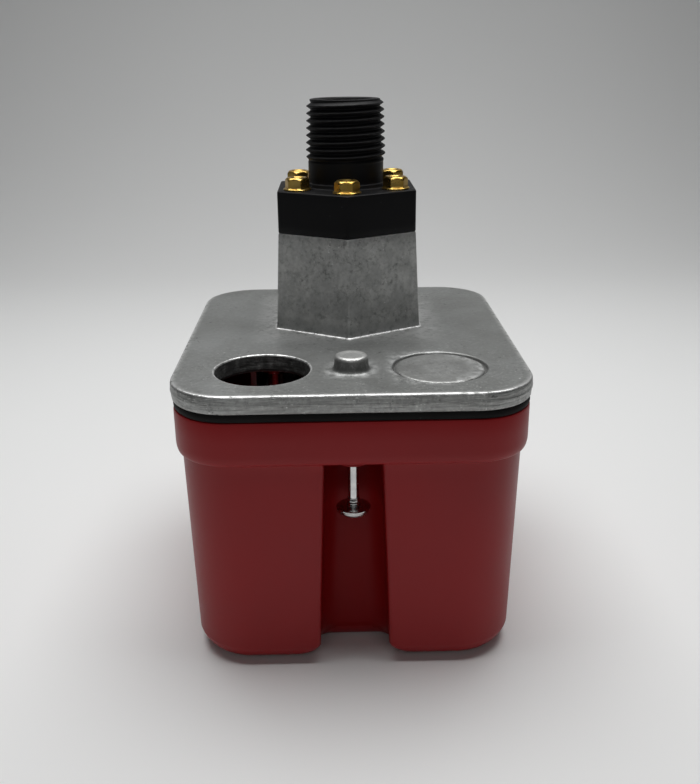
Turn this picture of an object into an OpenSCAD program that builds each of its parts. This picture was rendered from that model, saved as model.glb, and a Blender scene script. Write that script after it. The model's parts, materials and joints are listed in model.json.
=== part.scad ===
// Pressure switch with a hexagonal diaphragm tower, standing on the closed face of its cover.
// The origin is on the closed face, under the centre of the base plate. +Z runs along the port's axis.
// In this pose the port points up; on a pipe the port points down and the cover is on top.

/* [Base casting] */
// Width of the base plate
plate_w = 83; // [74:1:100]
// Depth of the base plate
plate_d = 96; // [88:1:116]
// Thickness of the base plate
plate_t = 4.35; // [4:0.05:6]
// Corner radius of the base plate
plate_corner_r = 14; // [10:1:18]
// Distance of the tower's axis behind the plate's centre
port_y = 15; // [8:0.5:18]
// Height of the hexagonal tower above the plate
tower_h = 25.25; // [22:0.25:32]
// Tower's width across flats at the plate
tower_af_base = 38; // [36.5:0.1:44]
// Draft of the tower: how much narrower it is across flats at its top
tower_draft = 2.4; // [0:0.1:3]
// Radius of a conduit knockout
knockout_r = 11.1; // [9:0.1:13.5]
// Distance of each knockout's centre from the plate's centre line
knockout_x = 20.7; // [17:0.1:24]
// Distance of the knockouts' centres in front of the plate's centre
knockout_y = 29.9; // [26:0.1:34]
// Width of the ring groove around the closed knockout
knockout_groove = 0.9; // [0.5:0.1:1.5]
// Metal left under the ring groove
knockout_web = 0.9; // [0.6:0.1:1.5]
// Radius of the boss over the ground screw
boss_r = 4; // [3:0.1:6]
// Height of the boss over the ground screw
boss_h = 3.7; // [3:0.1:6]
// Distance of the ground screw in front of the plate's centre
ground_y = 31; // [28:0.5:35]

/* [Cover] */
// Height of the cover from its closed face to the gasket
cover_h = 64.55; // [60:0.25:80]
// Wall of the cover
cover_wall = 2.4; // [1.8:0.1:3]
// Height of the rim band
rim_h = 10.6; // [8:0.2:14]
// How far the rim band lies inside the plate's outline
rim_inset = 0.45; // [0:0.05:1]
// Step from the rim band in to the body
rim_step = 0.7; // [0.5:0.05:2.5]
// Draft of the body on each side, over its whole height
cover_draft = 1.5; // [0:0.1:3]
// Edge radius of the closed face
cover_edge_r = 6; // [3:0.5:9]
// Width of the front groove under the rim band
groove_w_top = 13.2; // [11:0.2:16]
// Width of the front groove at the closed face
groove_w_bottom = 17; // [14:0.5:20]
// Depth of the front groove, from the plate's front edge
groove_depth = 15; // [12:0.5:18]
// Thickness of the gasket
gasket_t = 2; // [1:0.25:3]
// Width of the gasket's ring
gasket_w = 4.4; // [3:0.1:4.6]

/* [Cover screw] */
// Distance of the cover screw in from the plate's front edge
cover_screw_inset = 6.7; // [6:0.1:8]
// Diameter of the cover screw's head
cover_screw_head_d = 8; // [6:0.1:9]
// Height of the cover screw's domed head
cover_screw_head_h = 2.5; // [1.5:0.1:3.5]
// Outer diameter of the cover screw's thread
cover_screw_thread_d = 3.5; // [3:0.1:4.2]
// Diameter of the cover screw's smooth shank
cover_screw_shank_d = 2.5; // [2:0.1:2.6]
// Travel of the cover screw from hanging free to tight
cover_screw_travel = 11.4; // [10:0.1:13]
// Length of the collar under the cover screw's head
collar_h = 2.2; // [1:0.1:3]

/* [Port fitting] */
// Height of the black hexagonal flange
flange_h = 10.65; // [8:0.25:16]
// Width across flats of the black hexagonal flange
flange_af = 35.6; // [34.8:0.1:40]
// Radius of the neck under the thread
neck_r = 9.85; // [9:0.05:10.2]
// Length of the neck
neck_h = 6.3; // [4:0.1:12]
// Crest radius of the thread at its free end
thread_r_end = 9.95; // [9.6:0.05:10.3]
// Pitch of the pipe thread
thread_pitch = 1.814; // [1.5:0.001:2.2]
// Number of thread turns
thread_turns = 8.65; // [6:0.05:12]
// Depth of the thread
thread_depth = 1.05; // [0.9:0.05:1.5]
// Radius of the bore through the fitting
port_bore_r = 6.5; // [4:0.1:7.2]
// Radius of the circle on which the flange screws stand
flange_screw_circle = 14.6; // [14.4:0.1:17]
// Radius of the flange screws' thread
flange_screw_r = 1.7; // [1.5:0.1:2]
// Width across flats of the flange screws' heads
flange_screw_af = 5.6; // [5:0.05:7]
// Height of the flange screws' heads with their washers
flange_screw_head_h = 3.2; // [3:0.1:5]

/* [Diaphragm and piston] */
// Radius of the diaphragm
diaphragm_r = 12.3; // [12:0.1:13]
// Thickness of the diaphragm
diaphragm_t = 1; // [0.5:0.1:2]
// Radius of the piston's head
piston_head_r = 9.8; // [8:0.1:11]
// Radius of the piston's stem
piston_stem_r = 4; // [3:0.1:5]
// Travel of the piston
piston_travel = 1; // [0.5:0.1:1.2]

/* [Mechanism] */
// Distance of each lever, switch and spring from the centre line
lane_x = 19; // [18.5:0.1:22]
// Thickness of the mechanism bracket's sheet
sheet_t = 1.5; // [1:0.1:2]
// Height of the lever pivot below the base plate
pivot_drop = 12.55; // [11:0.25:14]
// Distance of the lever pivot behind the port's axis
pivot_back = 21; // [19:0.5:23]
// Distance of the switch plungers in front of the port's axis
plunger_front = 6; // [4:0.5:8]
// Distance of the adjusting studs in front of the port's axis
stud_front = 25; // [24:0.5:27]
// Length of a switch case
switch_l = 27.8; // [24:0.1:28]
// Height of a switch case
switch_h = 15.9; // [14:0.1:18]
// Thickness of a switch case with its lid
switch_t = 11.4; // [8:0.1:12]
// Radius of an adjusting knob
knob_r = 7; // [5:0.1:7.4]
// Height of an adjusting knob
knob_h = 8.5; // [6:0.5:10]
// Mean radius of a range spring
spring_r = 5; // [4:0.1:5.5]
// Wire diameter of a range spring
spring_wire = 1.1; // [0.8:0.05:1.4]
// Free height of a range spring as fitted
spring_h = 24.5; // [20:0.5:28]

/* [Hidden] */

LEFT = -1;
RIGHT = 1;
fit = 0.05;            // radial clearance of a running fit
gap = 0.1;             // clearance between faces that meet only under load
e = 0.5;               // overshoot of a cut past the face it leaves

// Heights of the main faces
plate_under = cover_h + gasket_t;
plate_top = plate_under + plate_t;
tower_top = plate_top + tower_h;
flange_top = tower_top + flange_h;
neck_top = flange_top + neck_h;
thread_top = neck_top + thread_turns * thread_pitch;
rim_under = cover_h - rim_h;

// Cover
rim_hw = plate_w / 2 - rim_inset;
rim_hd = plate_d / 2 - rim_inset;
rim_round = 2;
body_hw = rim_hw - rim_step;
body_hd = rim_hd - rim_step;
cover_corner_r = plate_corner_r + 1.5;
groove_back = groove_depth - plate_d / 2;
groove_corner_r = 5.5;
cover_screw_y = cover_screw_inset - plate_d / 2;
ledge_t = 2.5;
ledge_boss_h = 1.4;
ledge_boss_r = 4;
ledge_under = rim_under - ledge_boss_h;
cover_screw_seat = ledge_under - cover_screw_travel;
cover_screw_thread_h = ledge_t + ledge_boss_h + 2;
cover_screw_tip = ledge_under + cover_screw_thread_h - 2 * gap;
cover_screw_socket = 2.4;

// Tower, diaphragm and piston
tower_r_base = tower_af_base / 2 / cos(30);
tower_r_top = (tower_af_base - tower_draft) / 2 / cos(30);
diaphragm_z = tower_top - diaphragm_t;
chamber_h = 3;
piston_bore_r = piston_head_r + 0.7;
piston_head_t = 3;
piston_top = diaphragm_z - fit;
bush_r = piston_stem_r + 3;
bush_bottom = plate_under + 1.5;
bush_top = bush_bottom + 15;
piston_bore_z = piston_top - piston_head_t - piston_travel - 3;
flange_hole_depth = 12;

// Mechanism, worked out from the lever pivot
pivot_y = port_y + pivot_back;
pivot_z = plate_under - pivot_drop;
pin_r = 1.5;
ground_screw_r = 1.75;
ground_washer_t = 1;
barrel_r = 3;
lever_t = 2;
lever_top = pivot_z + 0.5;
lever_under = lever_top - lever_t;
lever_w = 8;
lever_eye_w = 12;
lever_front = 6;
plunger_y = port_y - plunger_front;
stud_y = port_y - stud_front;
stud_r = 2;
beam_ridge_r = 1;
beam_under = lever_top + gap + beam_ridge_r + 0.4;
beam_t = 2.5;
beam_top = beam_under + beam_t;
beam_hw = lane_x + lever_w / 2 + 1;
beam_w = 8;
cheek_out = lane_x + 7.3;
cheek_in = cheek_out - sheet_t;
bracket_hw = cheek_out + 4;
bracket_front = stud_y - 4;
bracket_back = pivot_y + 4;
web_under = plate_under - sheet_t;
bracket_screw_x = lane_x - 8;
bracket_screw_r = 1.6;
bracket_screw_head_r = 3;
bracket_screw_head_h = 2.3;
bracket_screw_bite = plate_t - 1;

// Switches
plunger_r = 1.25;
plunger_proud = 2.1;
plunger_top = lever_under - gap;
switch_top = plunger_top - plunger_proud;
switch_z = switch_top - switch_h;
switch_y = plunger_y - 10;
switch_out = cheek_in - fit;
lid_t = 1.2;
switch_hole_r = 1.55;
switch_screw_r = 1.5;
switch_hole_z = switch_z + 3.5;
switch_hole_ys = [switch_y + 3.2, switch_y + switch_l - 2.4];
terminal_ys = [switch_y + 4, switch_y + switch_l / 2, switch_y + switch_l - 4];
terminal_w = 7.4;
terminal_l = 6.8;
terminal_t = 1;
terminal_lift = 1;
terminal_x = switch_out - switch_t / 2;
terminal_screw_r = 1.2;
terminal_screw_head_r = 2.9;
terminal_screw_head_h = 2.3;
clamp_t = 1;
clamp_top = switch_z - terminal_t - terminal_lift;
terminal_bite = 2;

// Range springs and knobs
spring_top = lever_under - gap;
seat_top = spring_top - spring_h;
seat_t = 1.5;
seat_r = knob_r - 0.5;
knob_top = seat_top - seat_t;
knob_flutes = 12;
knob_flute_r = 0.7;
stud_end_nut_h = 3;
stud_bottom = knob_top - knob_h - stud_end_nut_h - 2;

// ---------------------------------------------------------------- shapes used more than once

module rounded_rect(w, d, r) {
    square([w - 2 * r, d], center = true);
    square([w, d - 2 * r], center = true);
    for (x = [-1, 1], y = [-1, 1])
        translate([x * (w / 2 - r), y * (d / 2 - r)]) circle(r, $fn = 64);
}

function arc(cx, cy, r, from, to, steps) =
    [for (i = [0:steps]) let (a = from + (to - from) * i / steps) [cx + r * cos(a), cy + r * sin(a)]];

function rounded_outline(hw, hd, r) =
    concat(arc(hw - r, hd - r, r, 0, 90, 8), arc(r - hw, hd - r, r, 90, 180, 8),
           arc(r - hw, r - hd, r, 180, 270, 8), arc(hw - r, r - hd, r, 270, 360, 8));

// A solid carried through levels, each [height, outline]; every outline has the same number of points
module loft(levels) {
    n = len(levels[0][1]);
    last = len(levels) - 1;
    points = [for (level = levels, p = level[1]) [p[0], p[1], level[0]]];
    walls = [for (i = [0:last - 1], k = [0:n - 1]) let (m = (k + 1) % n)
        each [[i * n + k, (i + 1) * n + k, (i + 1) * n + m], [i * n + k, (i + 1) * n + m, i * n + m]]];
    polyhedron(points, concat([[for (k = [0:n - 1]) k]], [[for (k = [n - 1:-1:0]) last * n + k]], walls));
}

module hexagon(r, h, r_top = -1) {
    rotate(30) cylinder(h = h, r1 = r, r2 = r_top < 0 ? r : r_top, $fn = 6);
}

module at_hex_corners(radius) {
    for (i = [0:5]) rotate(30 + 60 * i) translate([radius, 0, 0]) children();
}

module rod(r, h, sides = 48) { cylinder(h = h, r = r, $fn = sides); }

// A rod along X from x0 to x1, at height z and depth y
module rod_x(x0, x1, y, z, r, sides = 32) {
    translate([x0, y, z]) rotate([0, 90, 0]) cylinder(h = x1 - x0, r = r, $fn = sides);
}

// A block between |x| = x0 and x1 on one side of the centre line
module side_block(side, x0, x1, y0, y1, z0, z1) {
    translate([side > 0 ? x0 : -x1, y0, z0]) cube([x1 - x0, y1 - y0, z1 - z0]);
}

// A pan head on a shank, pointing up: the head's upper face is at z = 0
module pan_screw(shank_r, shank_h, head_r, head_h, slot = 0.9) {
    difference() {
        union() {
            rod(shank_r, shank_h, 32);
            translate([0, 0, -head_h]) rotate_extrude($fn = 48)
                polygon(concat([[0, 0]], [[0, head_h], [head_r, head_h]],
                               arc(head_r - 0.8, 0.8, 0.8, 0, -90, 5)));
        }
        translate([-head_r, -slot / 2, -head_h - e]) cube([2 * head_r, slot, head_h * 0.45 + e]);
    }
}

// ---------------------------------------------------------------- cover

// Distance by which the edge radius pulls the outline in, at height z above the closed face
function edge_pull(z) = z >= cover_edge_r ? 0 : cover_edge_r - sqrt(pow(cover_edge_r, 2) - pow(cover_edge_r - z, 2));
function draft_pull(z) = cover_draft * (1 - z / cover_h);

module cover_body(wall, floor_z, top_z) {
    loft([for (z = [floor_z, floor_z + 0.5, floor_z + 1.5, floor_z + 3, floor_z + cover_edge_r, top_z])
        let (pull = edge_pull(z - floor_z) + draft_pull(z) + wall)
            [z, rounded_outline(body_hw - pull, body_hd - pull, cover_corner_r - min(pull, cover_corner_r / 2))]]);
}

module cover_rim() {
    loft([for (level = [[0, rim_round], [0.6, 0.6], [rim_round, 0], [rim_h, 0]])
        [rim_under + level[0],
         rounded_outline(rim_hw - level[1], rim_hd - level[1], plate_corner_r - rim_inset - level[1])]]);
}

function groove_outline(w, grow) =
    concat([[-w / 2 - grow, -plate_d], [w / 2 + grow, -plate_d]],
           arc(w / 2 - groove_corner_r, groove_back - groove_corner_r, groove_corner_r + grow, 0, 90, 6),
           arc(groove_corner_r - w / 2, groove_back - groove_corner_r, groove_corner_r + grow, 90, 180, 6));

// The front groove, widened by grow on each side
module groove(grow, bottom, top) {
    loft([[bottom, groove_outline(groove_w_bottom, grow)], [top, groove_outline(groove_w_top, grow)]]);
}

module cover() color([0.42, 0.09, 0.1])
    difference() {
        union() {
            difference() {
                cover_body(0, 0, rim_under + 1);
                groove(0, -1, rim_under + 2);
            }
            cover_rim();
            translate([0, cover_screw_y, ledge_under]) rod(ledge_boss_r, ledge_boss_h + 1);
        }
        difference() {
            cover_body(cover_wall, cover_wall, cover_h + 1);
            groove(cover_wall, 0, rim_under + ledge_t);
        }
        translate([0, cover_screw_y, ledge_under - e]) rod(cover_screw_thread_d / 2 + fit, ledge_boss_h + ledge_t + 2 * e);
    }

module cover_gasket() color([0.07, 0.07, 0.075])
    translate([0, 0, cover_h]) linear_extrude(gasket_t) difference() {
        rounded_rect(2 * rim_hw, 2 * rim_hd, plate_corner_r - rim_inset);
        rounded_rect(2 * (rim_hw - gasket_w), 2 * (rim_hd - gasket_w), plate_corner_r - gasket_w);
    }

module cover_screw() color([0.75, 0.76, 0.77])
    translate([0, cover_screw_y, 0]) difference() {
        union() {
            translate([0, 0, cover_screw_seat - cover_screw_head_h]) rotate_extrude($fn = 64) {
                dome_h = cover_screw_head_h - 0.6;
                dome_r = (pow(cover_screw_head_d / 2, 2) + pow(dome_h, 2)) / (2 * dome_h);
                half_angle = asin(cover_screw_head_d / 2 / dome_r);
                polygon(concat([[0, cover_screw_head_h], [0, 0]],
                               [for (i = [1:8]) let (a = half_angle * i / 8)
                                   [dome_r * sin(a), dome_r - dome_r * cos(a)]],
                               [[cover_screw_head_d / 2, cover_screw_head_h]]));
            }
            translate([0, 0, cover_screw_seat - e]) rod(cover_screw_shank_d / 2, ledge_under - cover_screw_seat + e);
            translate([0, 0, ledge_under]) rod(cover_screw_thread_d / 2, cover_screw_tip - ledge_under);
        }
        translate([0, 0, cover_screw_seat - cover_screw_head_h - e]) difference() {
            cylinder(h = 1.5 + e, r = cover_screw_socket / 2 / cos(30), $fn = 6);
            rod(0.5, 1.5 + 2 * e);
        }
    }

module screw_collar() color([0.75, 0.76, 0.77])
    translate([0, cover_screw_y, cover_screw_seat]) rotate_extrude($fn = 48)
        polygon([[cover_screw_shank_d / 2 + fit, 0], [1.45, 0], [1.55, 0.35], [1.4, 0.8], [1.4, 1.1],
                 [1.55, 1.5], [1.45, collar_h], [cover_screw_shank_d / 2 + fit, collar_h]]);

// ---------------------------------------------------------------- base, port and diaphragm

module base_casting() color([0.6, 0.61, 0.62])
    difference() {
        union() {
            translate([0, 0, plate_under]) linear_extrude(plate_t) rounded_rect(plate_w, plate_d, plate_corner_r);
            translate([0, port_y, plate_top - e]) hexagon(tower_r_base, tower_h + e, tower_r_top);
            translate([0, -ground_y, plate_top - e]) rod(boss_r, boss_h + e);
        }
        translate([-knockout_x, -knockout_y, plate_under - e]) rod(knockout_r, plate_t + 2 * e, 96);
        translate([knockout_x, -knockout_y, plate_under + knockout_web]) difference() {
            rod(knockout_r, plate_t, 96);
            translate([0, 0, -e]) rod(knockout_r - knockout_groove, plate_t + 2 * e, 96);
        }
        translate([0, port_y, 0]) {
            translate([0, 0, diaphragm_z]) rod(diaphragm_r + fit, diaphragm_t + e, 96);
            translate([0, 0, piston_bore_z]) rod(piston_bore_r, tower_top - piston_bore_z, 96);
            translate([0, 0, plate_under - e]) rod(bush_r, tower_top - plate_under, 64);
            translate([0, 0, tower_top - flange_hole_depth]) at_hex_corners(flange_screw_circle)
                rod(flange_screw_r + fit, flange_hole_depth + e, 32);
        }
        translate([0, -ground_y, plate_under - e]) rod(ground_screw_r + fit, plate_t + boss_h - 1 + e, 32);
        translate([0, cover_screw_y, plate_under - e])
            rod(cover_screw_thread_d / 2 + fit, cover_screw_tip + cover_screw_travel - plate_under + e + 0.3, 32);
        bracket_screw_places() translate([0, 0, plate_under - e]) rod(bracket_screw_r, bracket_screw_bite + e, 32);
    }

// The thread's ridges: one trapezium per turn, on the taper of a pipe thread
module thread_profile() {
    taper = 1 / 32;
    crest = 0.35;
    for (i = [0:floor(thread_turns) - 1]) {
        z = neck_top + thread_pitch * (i + 0.55);
        r = thread_r_end + taper * (thread_top - z);
        polygon([[r - thread_depth - 0.4, z - thread_pitch / 2], [r - thread_depth, z - thread_pitch / 2 + 0.05],
                 [r, z - crest / 2], [r, z + crest / 2], [r - thread_depth, z + thread_pitch / 2 - 0.05],
                 [r - thread_depth - 0.4, z + thread_pitch / 2]]);
    }
}

module port_fitting() color([0.08, 0.08, 0.085])
    translate([0, port_y, 0]) difference() {
        union() {
            translate([0, 0, tower_top]) hexagon(flange_af / 2 / cos(30), flange_h);
            translate([0, 0, flange_top - e]) rod(neck_r + 0.35, 1.2 + e, 96);
            translate([0, 0, flange_top - e]) rod(neck_r, neck_h + e, 96);
            translate([0, 0, neck_top - e]) rod(thread_r_end - thread_depth, thread_top - neck_top + e, 96);
            rotate_extrude($fn = 96) thread_profile();
        }
        translate([0, 0, tower_top - e]) rod(port_bore_r, thread_top - tower_top + 2 * e, 96);
        translate([0, 0, tower_top - e]) rod(piston_bore_r - 0.5, chamber_h + e, 96);
        translate([0, 0, tower_top - e]) at_hex_corners(flange_screw_circle)
            rod(flange_screw_r + fit, flange_h + 2 * e, 32);
    }

module flange_screws() color([0.78, 0.62, 0.25])
    translate([0, port_y, flange_top]) at_hex_corners(flange_screw_circle) difference() {
        union() {
            translate([0, 0, -flange_h - flange_hole_depth + 1]) rod(flange_screw_r, flange_h + flange_hole_depth, 32);
            rod(3.6, 0.6, 48);
            translate([0, 0, 0.5]) cylinder(h = flange_screw_head_h - 0.5, r = flange_screw_af / 2 / cos(30), $fn = 6);
        }
        translate([0, 0, flange_screw_head_h - 0.5]) rod(1.9, 1, 32);
    }

module diaphragm() color([0.12, 0.12, 0.12])
    translate([0, port_y, diaphragm_z]) rod(diaphragm_r, diaphragm_t, 96);

module piston() color([0.7, 0.7, 0.72])
    translate([0, port_y, 0]) difference() {
        union() {
            translate([0, 0, piston_top - piston_head_t]) rod(piston_head_r, piston_head_t, 64);
            translate([0, 0, beam_top]) rod(piston_stem_r, piston_top - beam_top - 1);
        }
        translate([0, 0, beam_top - e]) rod(bracket_screw_r, 9 + e, 32);
    }

module thrust_beam() color([0.72, 0.73, 0.75])
    difference() {
        union() {
            translate([-beam_hw, port_y - beam_w / 2, beam_under]) cube([2 * beam_hw, beam_w, beam_t]);
            for (side = [LEFT, RIGHT])
                rod_x(side * lane_x - lever_w / 2, side * lane_x + lever_w / 2, port_y,
                      lever_top + gap + beam_ridge_r, beam_ridge_r);
        }
        translate([0, port_y, beam_under - e]) rod(bracket_screw_r, beam_t + 2 * e, 32);
    }

module beam_screw() color([0.72, 0.73, 0.75])
    translate([0, port_y, beam_under]) pan_screw(bracket_screw_r, beam_t + 8, bracket_screw_head_r, 2);

module guide_bush() color([0.75, 0.62, 0.35])
    translate([0, port_y, bush_bottom]) difference() {
        rod(bush_r, bush_top - bush_bottom, 64);
        translate([0, 0, -e]) rod(piston_stem_r + fit, bush_top - bush_bottom + 2 * e);
    }

// ---------------------------------------------------------------- bracket and what it carries

module bracket_screw_places() {
    for (x = [-bracket_screw_x, bracket_screw_x], y = [stud_y + 1, pivot_y - 1]) translate([x, y, 0]) children();
}

module mechanism_bracket() color([0.7, 0.71, 0.72])
    difference() {
        union() {
            translate([-bracket_hw, bracket_front, web_under])
                cube([2 * bracket_hw, bracket_back - bracket_front, sheet_t]);
            for (side = [LEFT, RIGHT])
                side_block(side, cheek_in, cheek_out, switch_y + 1, bracket_back, switch_z - 6, web_under + e);
        }
        translate([0, port_y, web_under - e]) rod(bush_r + 2, sheet_t + 2 * e, 64);
        bracket_screw_places() translate([0, 0, web_under - e]) rod(bracket_screw_r + fit, sheet_t + 2 * e, 32);
        for (side = [LEFT, RIGHT])
            translate([side * lane_x, stud_y, web_under - e]) rod(stud_r + fit, sheet_t + 2 * e, 32);
        rod_x(-cheek_out - e, cheek_out + e, pivot_y, pivot_z, pin_r + fit);
        for (y = switch_hole_ys) rod_x(-cheek_out - e, cheek_out + e, y, switch_hole_z, switch_hole_r);
    }

module bracket_screws() color([0.75, 0.76, 0.78])
    bracket_screw_places() translate([0, 0, web_under])
        pan_screw(bracket_screw_r, sheet_t + bracket_screw_bite, bracket_screw_head_r, bracket_screw_head_h);

module lever_pivot_pin() color([0.75, 0.76, 0.78])
    rod_x(-cheek_out - 2.5, cheek_out + 2.5, pivot_y, pivot_z, pin_r);

module pivot_clips() color([0.3, 0.3, 0.32])
    for (side = [LEFT, RIGHT]) difference() {
        rod_x(side > 0 ? cheek_out + 0.2 : -cheek_out - 1, side > 0 ? cheek_out + 1 : -cheek_out - 0.2,
              pivot_y, pivot_z, 3.2);
        rod_x(-cheek_out - 2, cheek_out + 2, pivot_y, pivot_z, pin_r);
    }

module ground_screw() color([0.15, 0.45, 0.2])
    translate([0, -ground_y, plate_under - ground_washer_t]) {
        rod(ground_screw_r, ground_washer_t + plate_t + boss_h - 1.5, 32);
        translate([0, 0, -3.2]) cylinder(h = 3.2, r = 4.4, $fn = 6);
    }

module ground_washer() color([0.75, 0.76, 0.78])
    translate([0, -ground_y, plate_under - ground_washer_t]) difference() {
        rod(5, ground_washer_t);
        translate([0, 0, -e]) rod(ground_screw_r + fit, ground_washer_t + 2 * e, 32);
    }

module insulating_barrier() color([0.85, 0.83, 0.76])
    difference() {
        translate([-0.4, bracket_front - 2, switch_z - 12])
            cube([0.8, pivot_y - 6 - bracket_front + 2, web_under - switch_z + 12]);
        translate([-1, port_y - 12, beam_under - 5]) cube([2, 24, web_under]);
    }

// Screws through the switches: head on the lid, nut outside the cheek
module switch_screws() color([0.75, 0.76, 0.78])
    for (side = [LEFT, RIGHT], y = switch_hole_ys)
        translate([side * (switch_out - switch_t), y, switch_hole_z]) rotate([0, side * 90, 0])
            pan_screw(switch_screw_r, switch_t + sheet_t + 3, 2.8, 2);

module switch_nuts() color([0.75, 0.76, 0.78])
    for (side = [LEFT, RIGHT], y = switch_hole_ys) difference() {
        translate([side * cheek_out, y, switch_hole_z]) rotate([0, side * 90, 0])
            cylinder(h = 2.2, r = 3.2, $fn = 6);
        rod_x(-cheek_out - 5, cheek_out + 5, y, switch_hole_z, switch_screw_r);
    }

module stud_end_nuts() color([0.75, 0.76, 0.78])
    for (side = [LEFT, RIGHT]) translate([side * lane_x, stud_y, stud_bottom + 1]) difference() {
        cylinder(h = stud_end_nut_h, r = 3.4, $fn = 6);
        translate([0, 0, -e]) rod(stud_r, stud_end_nut_h + 2 * e, 32);
    }

// ---------------------------------------------------------------- one lever lane, on one side

module lever(side) color([0.72, 0.73, 0.75])
    difference() {
        union() {
            side_block(side, lane_x - lever_w / 2, lane_x + lever_w / 2, stud_y, pivot_y, lever_under, lever_top);
            side_block(side, lane_x - lever_eye_w / 2, lane_x + lever_eye_w / 2, stud_y - lever_front,
                       stud_y + lever_front, lever_under, lever_top);
            rod_x(side * lane_x - lever_w / 2, side * lane_x + lever_w / 2, pivot_y, pivot_z, barrel_r, 48);
        }
        rod_x(side * lane_x - lever_w, side * lane_x + lever_w, pivot_y, pivot_z, pin_r + fit);
        translate([side * lane_x, stud_y, lever_under - e]) rod(stud_r + 1.2, lever_t + 2 * e);
    }

module adjusting_stud(side) color([0.75, 0.76, 0.78])
    translate([side * lane_x, stud_y, stud_bottom]) {
        rod(stud_r, plate_under - stud_bottom, 32);
        translate([0, 0, web_under - stud_bottom - 1.2]) rod(3.4, 1.2, 32);
    }

module adjusting_knob(side) color([0.78, 0.66, 0.35])
    translate([side * lane_x, stud_y, knob_top - knob_h]) difference() {
        rod(knob_r, knob_h, 96);
        translate([0, 0, -e]) rod(stud_r + fit, knob_h + 2 * e, 32);
        for (i = [1:knob_flutes]) rotate(360 * i / knob_flutes) translate([knob_r + knob_flute_r / 2, 0, -e])
            rod(knob_flute_r, knob_h + 2 * e, 24);
    }

module spring_seat(side) color([0.75, 0.76, 0.78])
    translate([side * lane_x, stud_y, knob_top]) difference() {
        union() {
            rod(seat_r, seat_t);
            rod(spring_r - spring_wire / 2 - 0.3, seat_t + 2, 48);
        }
        translate([0, 0, -e]) rod(stud_r + fit, seat_t + 2 + 2 * e, 32);
    }

// Height along the spring after t turns: closed end turns, then an even pitch between them
spring_turns = 8;
spring_step = spring_wire + 0.06;
function spring_z(t) =
    t < 1 ? t * spring_step
    : t > spring_turns - 1 ? spring_h - spring_wire - (spring_turns - t) * spring_step
    : spring_step + (t - 1) * (spring_h - spring_wire - 2 * spring_step) / (spring_turns - 2);

module range_spring(side) {
    rings = 112;
    sides = 6;
    points = [for (i = [0:rings], k = [0:sides - 1])
        let (t = spring_turns * i / rings, a = 360 * t, b = 360 * k / sides,
             r = spring_r + spring_wire / 2 * cos(b))
        [r * cos(a), r * sin(a), spring_wire / 2 + spring_z(t) + spring_wire / 2 * sin(b)]];
    faces = concat(
        [[for (k = [0:sides - 1]) k]], [[for (k = [sides - 1:-1:0]) rings * sides + k]],
        [for (i = [0:rings - 1], k = [0:sides - 1])
            let (n = (k + 1) % sides) [i * sides + k, (i + 1) * sides + k, (i + 1) * sides + n, i * sides + n]]);
    color([0.6, 0.62, 0.65]) translate([side * lane_x, stud_y, seat_top]) polyhedron(points, faces);
}

module switch_case(side) color([0.13, 0.12, 0.12])
    difference() {
        union() {
            side_block(side, switch_out - switch_t + lid_t, switch_out, switch_y, switch_y + switch_l,
                       switch_z, switch_top);
            for (i = [0, 1]) let (rib_y = (terminal_ys[i] + terminal_ys[i + 1]) / 2)
                side_block(side, switch_out - switch_t + lid_t, switch_out, rib_y - 0.6, rib_y + 0.6,
                           switch_z - 3, switch_z + e);
        }
        translate([side * lane_x, plunger_y, switch_top - 8]) rod(plunger_r + fit, 8 + e, 32);
        for (y = switch_hole_ys) rod_x(-cheek_out, cheek_out, y, switch_hole_z, switch_hole_r);
        for (y = terminal_ys) translate([side * terminal_x, y, switch_z - e])
            rod(terminal_screw_r, terminal_bite + e, 32);
    }

module switch_lid(side) color([0.2, 0.13, 0.1])
    difference() {
        side_block(side, switch_out - switch_t, switch_out - switch_t + lid_t, switch_y, switch_y + switch_l,
                   switch_z, switch_top);
        for (y = switch_hole_ys) rod_x(-cheek_out, cheek_out, y, switch_hole_z, switch_hole_r);
    }

module switch_plunger(side) color([0.6, 0.1, 0.1])
    translate([side * lane_x, plunger_y, plunger_top - plunger_proud - 6]) rod(plunger_r, plunger_proud + 6, 32);

module terminals(side) color([0.8, 0.66, 0.32])
    for (y = terminal_ys) difference() {
        side_block(side, terminal_x - terminal_l / 2, terminal_x + terminal_l / 2, y - terminal_w / 2,
                   y + terminal_w / 2, switch_z - terminal_t, switch_z);
        translate([side * terminal_x, y, switch_z - terminal_t - e]) rod(terminal_screw_r + fit, terminal_t + 2 * e, 32);
    }

module clamp_plates(side) color([0.75, 0.76, 0.78])
    for (y = terminal_ys) difference() {
        side_block(side, terminal_x - terminal_l / 2, terminal_x + terminal_l / 2, y - terminal_w / 2,
                   y + terminal_w / 2, clamp_top - clamp_t, clamp_top);
        translate([side * terminal_x, y, clamp_top - clamp_t - e]) rod(terminal_screw_r + fit, clamp_t + 2 * e, 32);
    }

module terminal_screws(side) color([0.75, 0.76, 0.78])
    for (y = terminal_ys) translate([side * terminal_x, y, clamp_top - clamp_t])
        pan_screw(terminal_screw_r, clamp_t + terminal_lift + terminal_t + terminal_bite, terminal_screw_head_r,
                  terminal_screw_head_h);

// ---------------------------------------------------------------- drawing

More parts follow.
